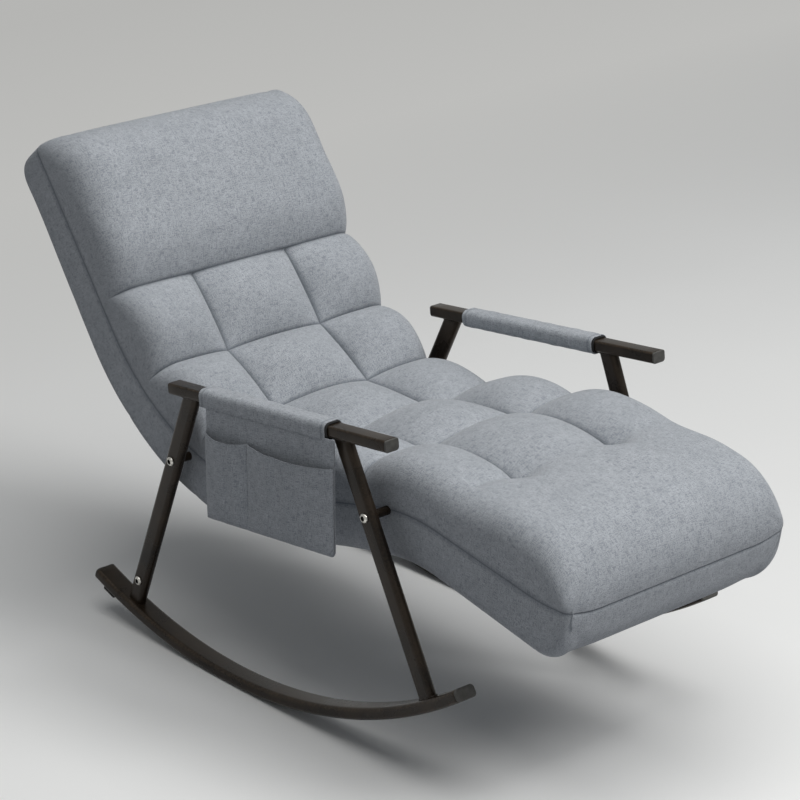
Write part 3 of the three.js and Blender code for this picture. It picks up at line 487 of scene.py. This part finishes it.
def linen(name, pale, middle, deep):
    """Melange cloth on the UV map. Streaks in two directions, 1.4 mm wide and nine times as
    long, are added to fine flecks, and turn the middle tone pale where they are high. The deep
    tone comes in where streaks, flecks, patches and clouds are high, and as painted shade in
    folds marked as grooves. The bump is a plain weave, one sine times another, plus the streaks
    and flecks."""
    material, tree, shader = new_finish(name, 0.9)
    where = node(tree, "TexCoord").outputs["UV"]
    warp = grain(tree, where, 0.0014, 2, (1, 9, 1))
    weft = grain(tree, where, 0.0014, 2, (9, 1, 1))
    fleck = grain(tree, where, 0.0016, 2)
    patch = grain(tree, where, 0.007, 3)
    cloud = grain(tree, where, 0.02, 4)
    slow = grain(tree, where, 0.07, 2)
    both = maths(tree, "ADD", warp, weft)
    spread = maths(tree, "ADD", both, fleck)
    cloth = blend_colour(tree, ramp(tree, spread, 1.4, 1.6), middle, pale)
    # The groove mark darkens the cloth as painted shade in seams, hems and channels.
    groove = node(tree, "Attribute", attribute_name="groove").outputs["Fac"]
    for layer, low, high, most in ((both, 1.0, 1.22, 0.5), (fleck, 0.45, 0.68, 0.36),
                                   (patch, 0.48, 0.7, 0.12), (cloud, 0.42, 0.68, 0.14),
                                   (slow, 0.35, 0.65, 0.08), (groove, 0, 1, 0.85)):
        cloth = blend_colour(tree, ramp(tree, layer, low, high, 0, most), cloth, deep)
    surfaced(tree, shader, cloth, ramp(tree, spread, 1.2, 1.8, 0.84, 0.97))
    shader.inputs["Specular IOR Level"].default_value = 0.25
    shader.inputs["Sheen Weight"].default_value = 0.22
    shader.inputs["Sheen Roughness"].default_value = 0.5
    axes = node(tree, "SeparateXYZ", [("Vector", where)])
    threads = []
    for axis in (0, 1):
        turns = maths(tree, "MULTIPLY", axes.outputs[axis], 2 * math.pi / thread_pitch)
        threads.append(maths(tree, "SINE", turns))
    weave = ramp(tree, maths(tree, "MULTIPLY", *threads), -1, 1, 0, 0.5)
    height = maths(tree, "ADD", weave, ramp(tree, spread, 1.1, 1.9, 0, 1.2))
    raised(tree, shader, height, 0.0004, 0.6)
    return material


cushion_linen = linen("cushion_linen", colour(214, 218, 222), colour(147, 151, 157),
                      colour(86, 93, 101))


def creases(along, around, size, seed):
    """Soft irregular ripples: five sines of different lengths and slants, added up, in mm."""
    total = 0
    for k in range(5):
        length, slant = 34 + 17 * k, 0.6 * math.sin(seed * 2.1 + k * 1.7)
        total = total + np.sin(2 * np.pi * (along + slant * around) / length + seed + 2.3 * k) / (k + 2)
    return size * total


for side, sign in sides.items():
    corners = (11.5, 11.5, 4.5, 12) if side == "right" else (11.5, 11.5, 12.6, 12.6)
    cover, lining = grown(sleeve_outer, corners), grown(sleeve_inner, np.array(corners) - 1.4)
    sleeve_end = sleeve_start + sleeve_length
    rows, places, share = hollow_rows(lining, cover, sleeve_start, sleeve_end, 90, 0.9)
    around = np.cumsum(np.concatenate([[0], np.linalg.norm(np.diff(cover, axis=0), axis=1)]))
    hem = np.exp(-((places - sleeve_start - hem_from_end) / stitch_wide) ** 2)
    hem = hem + np.exp(-((sleeve_end - hem_from_end - places) / stitch_wide) ** 2)
    ripple = creases(places[:, None], around[None], 0.42, 1.0 + sign) - 0.5 * hem[:, None]
    unit = rows / np.linalg.norm(rows, axis=-1, keepdims=True)
    rows = rows + unit * (ripple * share)[..., None]
    grid = on_arm(sign)(rows, places[:, None])
    # The hems are marked as grooves, which the linen darkens as painted shade.
    sleeve = skin(f"{side}_sleeve", grid, marks={"groove": hem[:, None] * share * 0.8}, sharp=70)
    mount(sleeve, cushion_linen, nodes=[f"{side}_arm_sleeve"])


# Bolts and bosses
# Zinc-plated socket-head bolts, M8, with a domed 16 mm head and a hexagon recess. The seat
# frame's bosses reach out through the cushion's side to the legs they hold.
def plated(name, bright, dull, recess_dark):
    """Bright zinc: a fine grain drawn out along the bolt, duller patches and a darker recess."""
    material, tree, shader = new_finish(name, 0.28, 1.0)
    where = node(tree, "TexCoord").outputs["Object"]
    dulled = ramp(tree, grain(tree, where, 0.003, 4), 0.4, 0.65)
    recess = node(tree, "Attribute", attribute_name="recess").outputs["Fac"]
    tone = blend_colour(tree, dulled, bright, dull)
    # The hexagon recess is darker.
    tone = blend_colour(tree, ramp(tree, recess, 0, 1, 0, 0.9), tone, recess_dark)
    surfaced(tree, shader, tone, ramp(tree, dulled, 0, 1, 0.2, 0.42))
    raised(tree, shader, grain(tree, where, 0.0004, 2, (8, 1, 1)), 0.00004, 0.5)
    return material


bolt_zinc = plated("bolt_zinc", colour(222, 220, 214), colour(178, 176, 170), colour(38, 37, 35))


def turned_piece(name, profile, middle, sign, six_sided=None, count=48):
    """A piece turned about a line along X: rows follow the profile of (radius, distance) pairs,
    and six_sided gives each row's share of a hexagon's outline, from 0 for a circle to 1. The
    same share marks the recess."""
    profile = np.asarray(profile, float)
    angle = np.arange(count) / count * 2 * np.pi
    hexagon = 1 / np.cos((angle + np.pi / 6) % (np.pi / 3) - np.pi / 6)
    flats = np.zeros(len(profile)) if six_sided is None else np.asarray(six_sided, float)
    radius = profile[:, :1] * (1 + flats[:, None] * (hexagon[None] - 1))
    grid = np.stack([np.broadcast_to(middle[0] + sign * profile[:, 1:], radius.shape),
                     middle[1] + radius * np.cos(angle), middle[2] + radius * np.sin(angle)], -1)
    return skin(name, grid, marks={"recess": flats[:, None]}, sharp=30)


bolt_profile = [(0, -12), (4, -12), (4, 0), (7.6, 0), (8, 0.35), (8, 1.4), (7.6, 2.5), (6.7, 3.5),
                (5.4, 4.2), (4.7, 4.45), (4.1, 4.4), (3.8, 4.2), (3.7, 3.9), (3.7, 1.0), (0, 0.7)]
bolt_flats = [0] * 10 + [0.5, 1, 1, 1, 1]
head_height = 4.5
boss_profile = [(0, 0), (13.5, 0), (13.5, 2.4), (12.9, 3), (8.1, 3), (7.5, 3.6)]
for side, sign in sides.items():
    for place in ("rear_frame", "front_frame", "rear_foot"):
        low, high = solid_box(f"{side}_{place}_bolt")
        middle = (low + high) / 2
        middle[0] = (low if sign < 0 else high)[0] - sign * head_height
        bolt = turned_piece(f"{side}_{place}_bolt_head", bolt_profile, middle, sign, bolt_flats)
        mount(bolt, bolt_zinc, nodes=[f"{side}_{place}_bolt"])
        if place == "rear_foot":
            continue
        low, high = solid_box(f"{side}_{place}_boss")
        start, long = (high if sign < 0 else low)[0], (high - low)[0]
        profile = [*boss_profile, (7.5, long - 0.6), (7, long), (0, long)]
        boss = turned_piece(f"{side}_{place}_boss_turned", profile, [start, *middle[1:]], sign)
        mount(boss, frame_paint, nodes=[f"{side}_{place}_boss"])


# Seat frame
# Two round S-shaped rails with cross tubes welded between them, and flat elastic webbing
# stretched over them, all inside the cushion. The sockets inside the rear legs are painted alike.
def webbing(name, tone, thread):
    """Elastic webbing: ribs across the strap, 3 mm apart, with a paler thread between them."""
    material, tree, shader = new_finish(name, 0.9)
    where = node(tree, "TexCoord").outputs["Object"]
    ribs = node(tree, "TexWave", [("Vector", where), ("Scale", 105.0), ("Distortion", 0.4)],
                bands_direction="X").outputs["Fac"]
    share = ramp(tree, ribs, 0.55, 0.9, 0, 0.5)
    rough = ramp(tree, grain(tree, where, 0.003, 3), 0.3, 0.7, 0.82, 0.96)
    surfaced(tree, shader, blend_colour(tree, share, tone, thread), rough)
    raised(tree, shader, ribs, 0.0003, 0.6)
    return material


strap_webbing = webbing("strap_webbing", colour(42, 42, 45), colour(92, 92, 96))
for name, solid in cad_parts.items():
    if name.endswith(("_frame_rail", "_cross_tube", "_leg_socket")):
        solid.data.materials.clear()
        solid.data.materials.append(frame_paint)
    elif name.endswith("_support_strap"):
        solid.data.materials.clear()
        solid.data.materials.append(strap_webbing)


# Cushion
# One long stuffed cushion of melange linen, closed by a plain seam along its sides and ends.
# Cross seams and two long seams sew it, between a head and a foot block, into fifteen tufts.
seam_start = np.array([522.0, 815.0])
seam_pieces = [(346, 54.8, 54.8), (503, 54.8, -13.4), (227, -13.4, -13.4), (141, -13.4, 10.7),
               (284, 10.7, 10.7)]
cushion_length = 1501.0
crossings = np.array([298.0, 465, 632, 842, 1052, 1237])
crowns = np.array([104.0, 104, 104, 98, 98, 88, 104])
channels = np.array([62.0, 62, 56, 60, 54, 52])
head_half, foot_half, column_half = 266.0, 242.0, 103.0
under, under_seat, tuft_power, sink = 94.0, 80.0, 0.66, 0.14
head_round, foot_round, under_side_round, corner_round = 88.0, 108.0, 34.0, 14.0
under_head_round, under_foot_round = 38.0, 54.0
back_edge, seat_edge, head_edge = 46.0, 40.0, 70.0
seam_draw, lip, skin_rise, bulge, tuck = 2.6, 1.4, 1.5, 5.0, 3.0
saddle, saddle_long, pit_long, side_fall = 88.0, 130.0, 26.0, 10.0
fold_deep, fold_long, corner_lift, corner_reach = 9.0, 15.0, 9.0, 40.0
slim_past, slim_long = 90.0, 170.0
side_points, flank_steps, middle_steps, belly_steps, end_rows, pinched = 13, 12, 18, 20, 7, 5
painted_shade_spread = 0.45


def seam_line(s):
    """Depth, height and slope of the side seam at distances s from the head: straights and arcs
    that follow each other, each turning evenly from its first slope to its last."""
    depth, height = np.full_like(s, seam_start[0]), np.full_like(s, seam_start[1])
    slope, left = np.full_like(s, math.radians(seam_pieces[0][1])), s.copy()
    for length, first, last in seam_pieces:
        run, a = np.clip(left, 0, length), math.radians(first)
        bend = math.radians(last - first) / length
        slope = np.where(run > 0, a + bend * run, slope)
        if bend:
            depth = depth - (np.sin(a + bend * run) - math.sin(a)) / bend
            height = height + (np.cos(a + bend * run) - math.cos(a)) / bend
        else:
            depth, height = depth - run * math.cos(a), height - run * math.sin(a)
        left = left - run
    return depth, height, slope


def along_cushion(s, across, out):
    """A point at a distance along the seam, across the cushion, and out towards the sitter."""
    depth, height, slope = seam_line(s)
    return np.stack([across, depth - out * np.sin(slope), height + out * np.cos(slope)], -1)


def half_width(s):
    """Half the cushion's width: it tapers to the foot, and its four corners are rounded."""
    full = head_half + (foot_half - head_half) * s / cushion_length
    inside = np.clip(1 - np.minimum(s, cushion_length - s) / corner_round, 0, 1)
    return full - corner_round * (1 - np.sqrt(1 - inside ** 2))


def end_share(s, height, head_edge, foot_edge):
    """The share of a height that is reached near an end, where the edge is a quarter round."""
    head = s < cushion_length / 2
    from_end, edge = np.where(head, s, cushion_length - s), np.where(head, head_edge, foot_edge)
    left = np.clip(edge - from_end, 0, None)
    return (height - edge + np.sqrt(np.clip(edge ** 2 - left ** 2, 0, None))) / height


def upper_height(s, across, half):
    """Height of the upper side over the seam. Tufts swell between the sewn lines as a sine to the
    power tuft_power, and are lower still where four meet. The head block ends in the first sewn line.
    The last row runs on into the foot block: the long seams end in a pit there, and a crease
    runs out from the right one to the side."""
    row = np.clip(np.searchsorted(crossings, s, side="left") - 1, 0, len(crossings) - 2)
    along = np.clip((s - crossings[row]) / (crossings[row + 1] - crossings[row]), 0, 1)
    row_swell = np.sin(np.pi * along) ** tuft_power
    middle = np.sin(np.pi * np.clip((across + column_half) / (2 * column_half), 0, 1))
    share = np.clip((np.abs(across) - column_half) / (half - column_half), 0, 1)
    swing = np.where(np.abs(across) > column_half, np.sin(np.pi / 2 * np.minimum(2 * share, 1)), middle)
    column_swell = np.clip(swing, 0, 1) ** tuft_power
    onward = np.clip((s - crossings[1]) / (crossings[3] - crossings[1]), 0, 1)
    fall = side_fall * onward * (across / half) ** 2
    crown, channel = crowns[row + 1] - fall, channels[row] + (channels[row + 1] - channels[row]) * along
    low = channel * (1 - sink * (1 - column_swell) * (1 - row_swell))
    tufted = low + (crown - low) * row_swell * column_swell
    late = np.clip(2 * along - 1, 0, 1)
    joined = low + (crown + (saddle - crowns[-2]) * late ** 2 - low) * column_swell
    tufted = np.where((row == len(crossings) - 2) & (along > 0.5), joined, tufted)
    head = np.sin(np.pi / 2 * np.clip((crossings[0] - s) / head_round, 0, 1)) ** tuft_power
    foot = np.clip((s - crossings[-1]) / saddle_long, 0, 1)
    block = saddle - fall + (crowns[-1] - saddle) * foot ** 2 * (3 - 2 * foot)
    pit = (1 - column_swell) * np.exp(-(np.clip(s - crossings[-1], 0, None) / pit_long) ** 2)
    block = block - (block - channels[-1] * (1 - sink * (1 - column_swell))) * pit
    folded = (across < 0) * fold_deep * np.exp(-((s - crossings[-1]) / fold_long) ** 2)
    folded = folded * np.sin(np.pi * share) ** 0.6
    block, tufted = block - folded, tufted - folded * (row == len(crossings) - 2)
    inside = (s > crossings[0]) & (s < crossings[-1])
    plain = np.where(s < crossings[1], channels[0] + (crowns[0] - channels[0]) * head, block)
    return np.where(inside, tufted, plain) * end_share(s, crowns[0], head_round, foot_round)


def eased(count):
    """Shares from 0 to 1 that lie closer together at both ends."""
    return (1 - np.cos(np.linspace(0, np.pi, count + 1))) / 2


def cushion_rows():
    """Distances of the rows along the cushion, closer together at its seams and ends."""
    marks = [0.0, *crossings, cushion_length]
    counts = [30, 18, 18, 20, 20, 20, 32]
    parts = [a + (b - a) * eased(n)[:-1] for a, b, n in zip(marks[:-1], marks[1:], counts)]
    return np.concatenate([*parts, [cushion_length]])


def side_profile(half, round_by, height_at):
    """Across and out of one side from the seam to where the top begins: the pinched seam, an
    upright wall and a rounded edge, in side_points points for each row."""
    reached = np.minimum(round_by, height_at(half - round_by))
    edge_height = height_at(half)
    wall = edge_height - np.minimum(reached, edge_height)
    across, out = [half - seam_draw, half - seam_draw * 0.25], [0 * half, lip + 0 * half]
    for turn in np.linspace(0, np.pi / 2, side_points - 2):
        x = half - reached * (1 - np.cos(turn))
        y = np.clip(height_at(x) - reached, 0, None) + reached * np.sin(turn)
        across.append(x)
        out.append(lip + np.maximum(y, wall) + skin_rise)
    return np.stack(across, -1), np.stack(out, -1)


def cushion_grid(s):
    """The whole skin as rows along and columns round: the upper side from the right seam to the
    left one, and the underside back. Also how many columns the upper side has."""
    half = half_width(s)
    seat = np.clip((s - crossings[1]) / (crossings[3] - crossings[1]), 0, 1)
    round_by = back_edge + (seat_edge - back_edge) * seat ** 2 * (3 - 2 * seat)
    round_by = round_by + (head_edge - back_edge) * np.clip(1 - s / crossings[0], 0, 1) ** 2
    side, side_out = side_profile(half, round_by, lambda x: upper_height(s, x, half))
    start = side[:, -1:]
    flank = start - (start - column_half) * eased(flank_steps)[None, 1:]
    middle = column_half * np.cos(np.linspace(0, np.pi, middle_steps + 1))[None, 1:-1] + 0 * start
    inner = np.concatenate([flank, middle, -flank[:, ::-1]], 1)
    inner_out = lip + skin_rise + upper_height(s[:, None], inner, half[:, None])
    upper = np.concatenate([side, inner, -side[:, ::-1]], 1)
    upper_out = np.concatenate([side_out, inner_out, side_out[:, ::-1]], 1)
    slim = np.exp(-((s - crossings[3] - slim_past) / slim_long) ** 2)
    deep = under + (under_seat - under) * slim
    deep = deep * end_share(s, under, under_head_round, under_foot_round)
    low, low_out = side_profile(half, under_side_round + 0 * s, lambda x: deep)
    belly = low[:, -1:] * np.cos(np.linspace(0, np.pi, belly_steps + 1))[None, 1:-1]
    belly_out = (lip + skin_rise + deep)[:, None] + 0 * belly
    lower = np.concatenate([low[:, 1:], belly, -low[:, :0:-1]], 1)[:, ::-1]
    lower_out = -np.concatenate([low_out[:, 1:], belly_out, low_out[:, :0:-1]], 1)[:, ::-1]
    return np.concatenate([upper, lower], 1), np.concatenate([upper_out, lower_out], 1), upper.shape[1]


rows = cushion_rows()
across, out, upper_count = cushion_grid(rows)
columns = across.shape[1]
seam_columns = [0, upper_count - 1]
first_channel = side_points - 1 + flank_steps
channel_columns = [first_channel, first_channel + middle_steps]
tufted_rows = np.where((rows >= crossings[0]) & (rows <= crossings[-1]))[0]
# The groove mark is painted shade: the linen darkens the seams, the sewn lines and the long seams.
groove = np.zeros(across.shape)
groove[:, seam_columns] = 1
for crossing in crossings[:-1]:
    groove[np.argmin(np.abs(rows - crossing)), pinched:upper_count - pinched] = 1
groove[tufted_rows[0]:tufted_rows[-1] + 1, channel_columns] = 1
foot_corners = [*range(pinched), *range(upper_count - pinched, upper_count + pinched),
                *range(columns - pinched + 1, columns)]
groove[-1, foot_corners] = 1
seamed = groove.copy()
# Beside the sewn lines and long seams the painted shade spreads to the next points, weaker.
tufts = np.s_[tufted_rows[0] - 2:tufted_rows[-1] + 3, pinched + 1:upper_count - pinched - 1]
near = groove[tufts]
groove[tufts] = np.maximum(near, painted_shade_spread * np.maximum.reduce([
    np.roll(near, 1, 0), np.roll(near, -1, 0), np.roll(near, 1, 1), np.roll(near, -1, 1)]))
spine = along_cushion(rows[:, None], across, out)


def end_cap(ring_across, ring_out, s):
    """Rows that close an end: the last ring shrinks upright to the end seam, a line as wide as
    the ring at the seam's own height, bulging a little on the way and tucked in at the seam."""
    share = np.linspace(0, 1, end_rows + 1)[1:, None]
    wide = np.sign(ring_across) * np.minimum(np.abs(ring_across), np.abs(ring_across).max() - seam_draw)
    narrow = ring_across * (1 - share) + wide * share
    beyond = bulge * np.sin(np.pi * np.sqrt(share)) - tuck * (share > 0.999)
    way = -1 if s < cushion_length / 2 else 1
    return along_cushion(s + way * beyond, narrow, ring_out * (1 - share))


head_cap = end_cap(across[0], out[0], 0.0)[::-1]
foot_cap = end_cap(across[-1], out[-1], cushion_length)
grid = np.concatenate([head_cap, spine, foot_cap])
for corner in along_cushion(np.full(2, cushion_length), np.array([-foot_half, foot_half]), np.zeros(2)):
    away = np.linalg.norm(grid - corner, axis=-1)
    grid[..., 2] += corner_lift * np.exp(-(away / corner_reach) ** 2)
end_marks = np.zeros((end_rows, columns))
end_marks[0] = 1
marks = {name: np.concatenate([end_marks, part, end_marks[::-1]])
         for name, part in (("groove", groove), ("seamed", seamed))}
cushion = skin("cushion", grid, marks=marks, sharp=180)

# The stuffing presses the cloth out between its held seams. A quarter of each point's movement
# is kept, and no movement counts for more than 22 mm.
kept_share, farthest = 0.25, 0.022
held = cushion.vertex_groups.new(name="held")
value = np.zeros(len(cushion.data.vertices), np.float32)
cushion.data.attributes["seamed"].data.foreach_get("value", value)
held.add([int(v) for v in np.where(value > 0.5)[0]], 1.0, "REPLACE")
rest = np.array([v.co for v in cushion.data.vertices])
cloth = cushion.modifiers.new("stuffing", "CLOTH")
cloth.settings.quality = 6
cloth.settings.mass = 0.35
cloth.settings.tension_stiffness = 18
cloth.settings.compression_stiffness = 18
cloth.settings.shear_stiffness = 6
cloth.settings.bending_stiffness = 0.6
cloth.settings.air_damping = 2
cloth.settings.use_pressure = True
cloth.settings.uniform_pressure_force = 4
cloth.settings.vertex_group_mass = "held"
cloth.settings.effector_weights.gravity = 0
cloth.collision_settings.use_collision = False
for step in range(1, 21):
    bpy.context.scene.frame_set(step)
depsgraph = bpy.context.evaluated_depsgraph_get()
swollen = cushion.evaluated_get(depsgraph)
after = np.empty(len(rest) * 3, np.float32)
swollen.data.vertices.foreach_get("co", after)
bpy.context.scene.frame_set(1)
cushion.modifiers.clear()
cushion.vertex_groups.clear()
move = after.reshape(-1, 3) - rest
far = np.linalg.norm(move, axis=1, keepdims=True)
move *= kept_share * np.minimum(1, farthest / np.maximum(far, 1e-9))
cushion.data.vertices.foreach_set("co", (rest + move).astype(np.float32).ravel())
cushion.data.update()
smooth = cushion.modifiers.new("rounding", "SUBSURF")
smooth.levels = smooth.render_levels = 1
cushion_solids = [f"{part}_{kind}" for part in ("head", "back", "seat", "foot")
                  for kind in ("pad", "under_pad")]
mount(cushion, cushion_linen, nodes=cushion_solids)


# Side pocket
# A doubled panel of the same linen hangs from the right sleeve's lower seam. A narrow and a
# wide pouch are sewn on it along their sides and bottoms, and their hemmed tops stand open.
panel_inner, panel_thick, pocket_rear, pocket_width = -307.2, 2.2, 2.0, 320.0
panel_drop, pouch_deep, pouch_split, pouch_thick = 195.5, 15.0, 108.0, 1.6
seam_below_bar, seam_gap, pouch_seam, hem_steps = 10.01, 0.3, 1.5, 5


def hang_line(depth):
    """Height of the sleeve's lower outer seam at a depth."""
    middle = arm_rear[1] + (arm_rear[0] - depth) * math.tan(arm_slope)
    return middle - seam_below_bar / math.cos(arm_slope)


def panel_grid(share, drop):
    """The panel's outer face: straight down from the seam, with a slight wave that grows
    towards its free bottom edge."""
    depth = pocket_rear - share * pocket_width
    wave = creases(depth, drop, 1.1, 4.0) * np.clip(drop / panel_drop, 0, 1)
    return np.stack([panel_inner - seam_gap - np.clip(0.4 + 0.4 * wave, 0, 1.6), depth,
                     hang_line(depth) - drop - seam_gap], -1)


def closed_sheet(name, front, thickness):
    """A hemmed sheet of cloth from the grid of its outer face: that face and its copy towards the
    chair, joined by a half-round hem at the top and bottom. One more column on each side lies
    midway between the two faces, so that the edges close."""
    inward = np.array([1.0, 0, 0])
    turn = np.linspace(0, np.pi, hem_steps + 2)[1:-1]
    down = front[-1] - front[-2]
    down = down / np.linalg.norm(down, axis=-1, keepdims=True)
    low = [front[-1] + thickness / 2 * ((1 - np.cos(t)) * inward + np.sin(t) * down) for t in turn]
    top = [front[0] + thickness / 2 * ((1 - np.cos(t)) * inward - np.sin(t) * down)
           for t in turn[::-1]]
    loop = np.concatenate([front, low, front[::-1] + thickness * inward, top, front[:1]])
    rows = np.arange(len(front))
    order = np.concatenate([rows, np.full(hem_steps, rows[-1]), rows[::-1],
                            np.zeros(hem_steps + 1, int)])
    edges = []
    for column, way in ((0, 1), (-1, -1)):
        step = loop[:, column] - loop[:, column + way]
        step /= np.linalg.norm(step, axis=-1, keepdims=True)
        flat = front[:, column] + thickness / 2 * inward
        edges.append(flat[order] + step * thickness * 0.5)
    grid = np.concatenate([edges[0][:, None], loop, edges[1][:, None]], 1)
    return skin(name, grid, ring=False, sharp=75)


def corner_cut(from_edge, radius=10.0):
    """How much shorter a sheet is near its side edge, where its lower corner is a quarter round."""
    inside = np.clip(1 - from_edge / radius, 0, 1)
    return radius * (1 - np.sqrt(1 - inside ** 2))


share, fall = np.meshgrid(eased(70), np.linspace(0, 1, 60))
drop = fall * (panel_drop - corner_cut((1 - share) * pocket_width))
panel = closed_sheet("pocket_panel", panel_grid(share, drop), panel_thick)
mount(panel, cushion_linen, "side_pocket", ["pocket_back_panel"])

# Where each pouch starts and ends along the panel, its top's drop at both sides, and its sag.
pouches = {"narrow": (0.0, pouch_split, 42.0, 44.5, 6.0),
           "wide": (pouch_split, pocket_width, 44.5, 46.0, 5.5)}
for name, (first, last, rear_drop, front_drop, sag) in pouches.items():
    width = last - first
    share, fall = np.meshgrid(eased(50), np.linspace(0, 1, 50))
    arch = np.clip(np.sin(np.pi * share), 0, 1) ** 0.6
    sagged = sag * np.clip(np.sin(np.pi * share), 0, 1) ** 0.7 * (1 - fall) ** 2
    top = rear_drop + (front_drop - rear_drop) * share
    low = panel_drop - pouch_seam - corner_cut(pocket_width - first - share * width)
    drop = top + (low - top) * fall + sagged
    depth = pocket_rear - first - share * width
    full = (1 - 0.4 * fall ** 1.8) * np.sqrt(np.clip(1 - fall ** 14, 0, 1))
    out = 1.2 + (pouch_deep - 2) * arch * full + creases(depth, 0.3 * drop, 1.1, 7 + sag) * arch
    grid = np.stack([panel_inner - panel_thick - np.clip(out, 0.8, pouch_deep + 3), depth,
                     hang_line(depth) - drop], -1)
    pouch = closed_sheet(f"pocket_{name}_front", grid, pouch_thick)
    mount(pouch, cushion_linen, "side_pocket", [f"pocket_{name}_pouch"])


# Studio
# A pale seamless floor under one very large soft lamp and a smaller one high before the chair's
# left. It throws light back as a grey one would. It is painted a little paler towards the front,
# and far behind the camera sees a glowing backdrop painted darker with distance: both are
# painted falloff of light.
scene = bpy.context.scene
bpy.ops.mesh.primitive_grid_add(size=24, x_subdivisions=8, y_subdivisions=8)
floor = bpy.context.object
floor.name = "floor"
floor_finish, tree, shader = new_finish("floor_paper", 0.9)
where = node(tree, "TexCoord").outputs["Object"]
depth = node(tree, "SeparateXYZ", [("Vector", where)]).outputs[1]
# Painted falloff of light: the floor's colour is a little paler towards the front.
tone = blend_colour(tree, ramp(tree, depth, -1.0, 1.6), colour(242, 242, 240), colour(232, 232, 230))
mottled = ramp(tree, grain(tree, where, 0.8, 2), 0.3, 0.7, 0, 0.12)
tree.links.new(blend_colour(tree, mottled, tone, colour(216, 215, 213)), shader.inputs["Base Color"])
# Far behind, the camera sees a glow instead of the floor, painted darker with distance as light
# falloff.
backdrop = blend_colour(tree, ramp(tree, depth, 1.6, 4.2), colour(193, 193, 191), colour(180, 180, 178))
backdrop = node(tree, "Emission", [("Color", backdrop), ("Strength", 1.0)])
far = ramp(tree, depth, 1.0, 2.6)
pale = node(tree, "MixShader", [(0, far), (1, shader.outputs[0]), (2, backdrop.outputs[0])])
dull = node(tree, "BsdfDiffuse", [("Color", colour(162, 163, 166))])


def seen_rays(tree):
    """1 for the rays that show a surface: camera, mirror and glass rays."""
    rays = node(tree, "LightPath").outputs
    shown = maths(tree, "MAXIMUM", rays["Is Camera Ray"], rays["Is Glossy Ray"])
    return maths(tree, "MAXIMUM", shown, rays["Is Transmission Ray"])


paper = node(tree, "MixShader", [(0, seen_rays(tree)), (1, dull.outputs[0]), (2, pale.outputs[0])])
tree.links.new(paper.outputs[0], tree.nodes["Material Output"].inputs["Surface"])
floor.data.materials.append(floor_finish)
floor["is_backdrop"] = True


def lamp(name, place, aim, wide, deep, watts):
    """A soft rectangular lamp at a place, turned to a point."""
    light = bpy.data.lights.new(name, "AREA")
    light.shape, light.size, light.size_y, light.energy = "RECTANGLE", wide, deep, watts
    stand = bpy.data.objects.new(name, light)
    stand.location = place
    way = np.array(aim, float) - np.array(place, float)
    flat = math.hypot(way[0], way[1])
    stand.rotation_euler = (math.atan2(flat, -way[2]), 0, math.atan2(-way[0], way[1]) if flat else 0)
    scene.collection.objects.link(stand)


lamp("over", (0, -1.3, 5.3), (0, -1.3, 0), 5.4, 4.8, 174)
lamp("key", (2.2, -3.9, 4.9), (0, -0.1, 0.4), 2.4, 2.4, 160)
world = bpy.data.worlds.new("room")
scene.world = world
world.use_nodes = True
tree = world.node_tree
shown = tree.nodes["Background"]
shown.inputs[0].default_value = colour(180, 180, 178)
lit = node(tree, "Background", [("Color", colour(202, 206, 210)), ("Strength", 0.27)])
room = node(tree, "MixShader", [(0, seen_rays(tree)), (1, lit.outputs[0]), (2, shown.outputs[0])])
tree.links.new(room.outputs[0], tree.nodes["World Output"].inputs["Surface"])

camera = bpy.data.objects.new("camera", bpy.data.cameras.new("camera"))
camera.data.lens, camera.data.sensor_width = 126, 36
camera.data.clip_end = 60
azimuth, height, distance = math.radians(-41.52), math.radians(21.13), 4.635
aim = chair_zero / 1000 + np.array([0, -0.123, 0.468])
camera.location = aim + distance * np.array(
    [math.sin(azimuth) * math.cos(height), -math.cos(azimuth) * math.cos(height), math.sin(height)])
camera.rotation_euler = (math.pi / 2 - height, 0, azimuth)
scene.collection.objects.link(camera)
scene.camera = camera
scene.view_settings.view_transform = "Standard"

low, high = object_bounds()
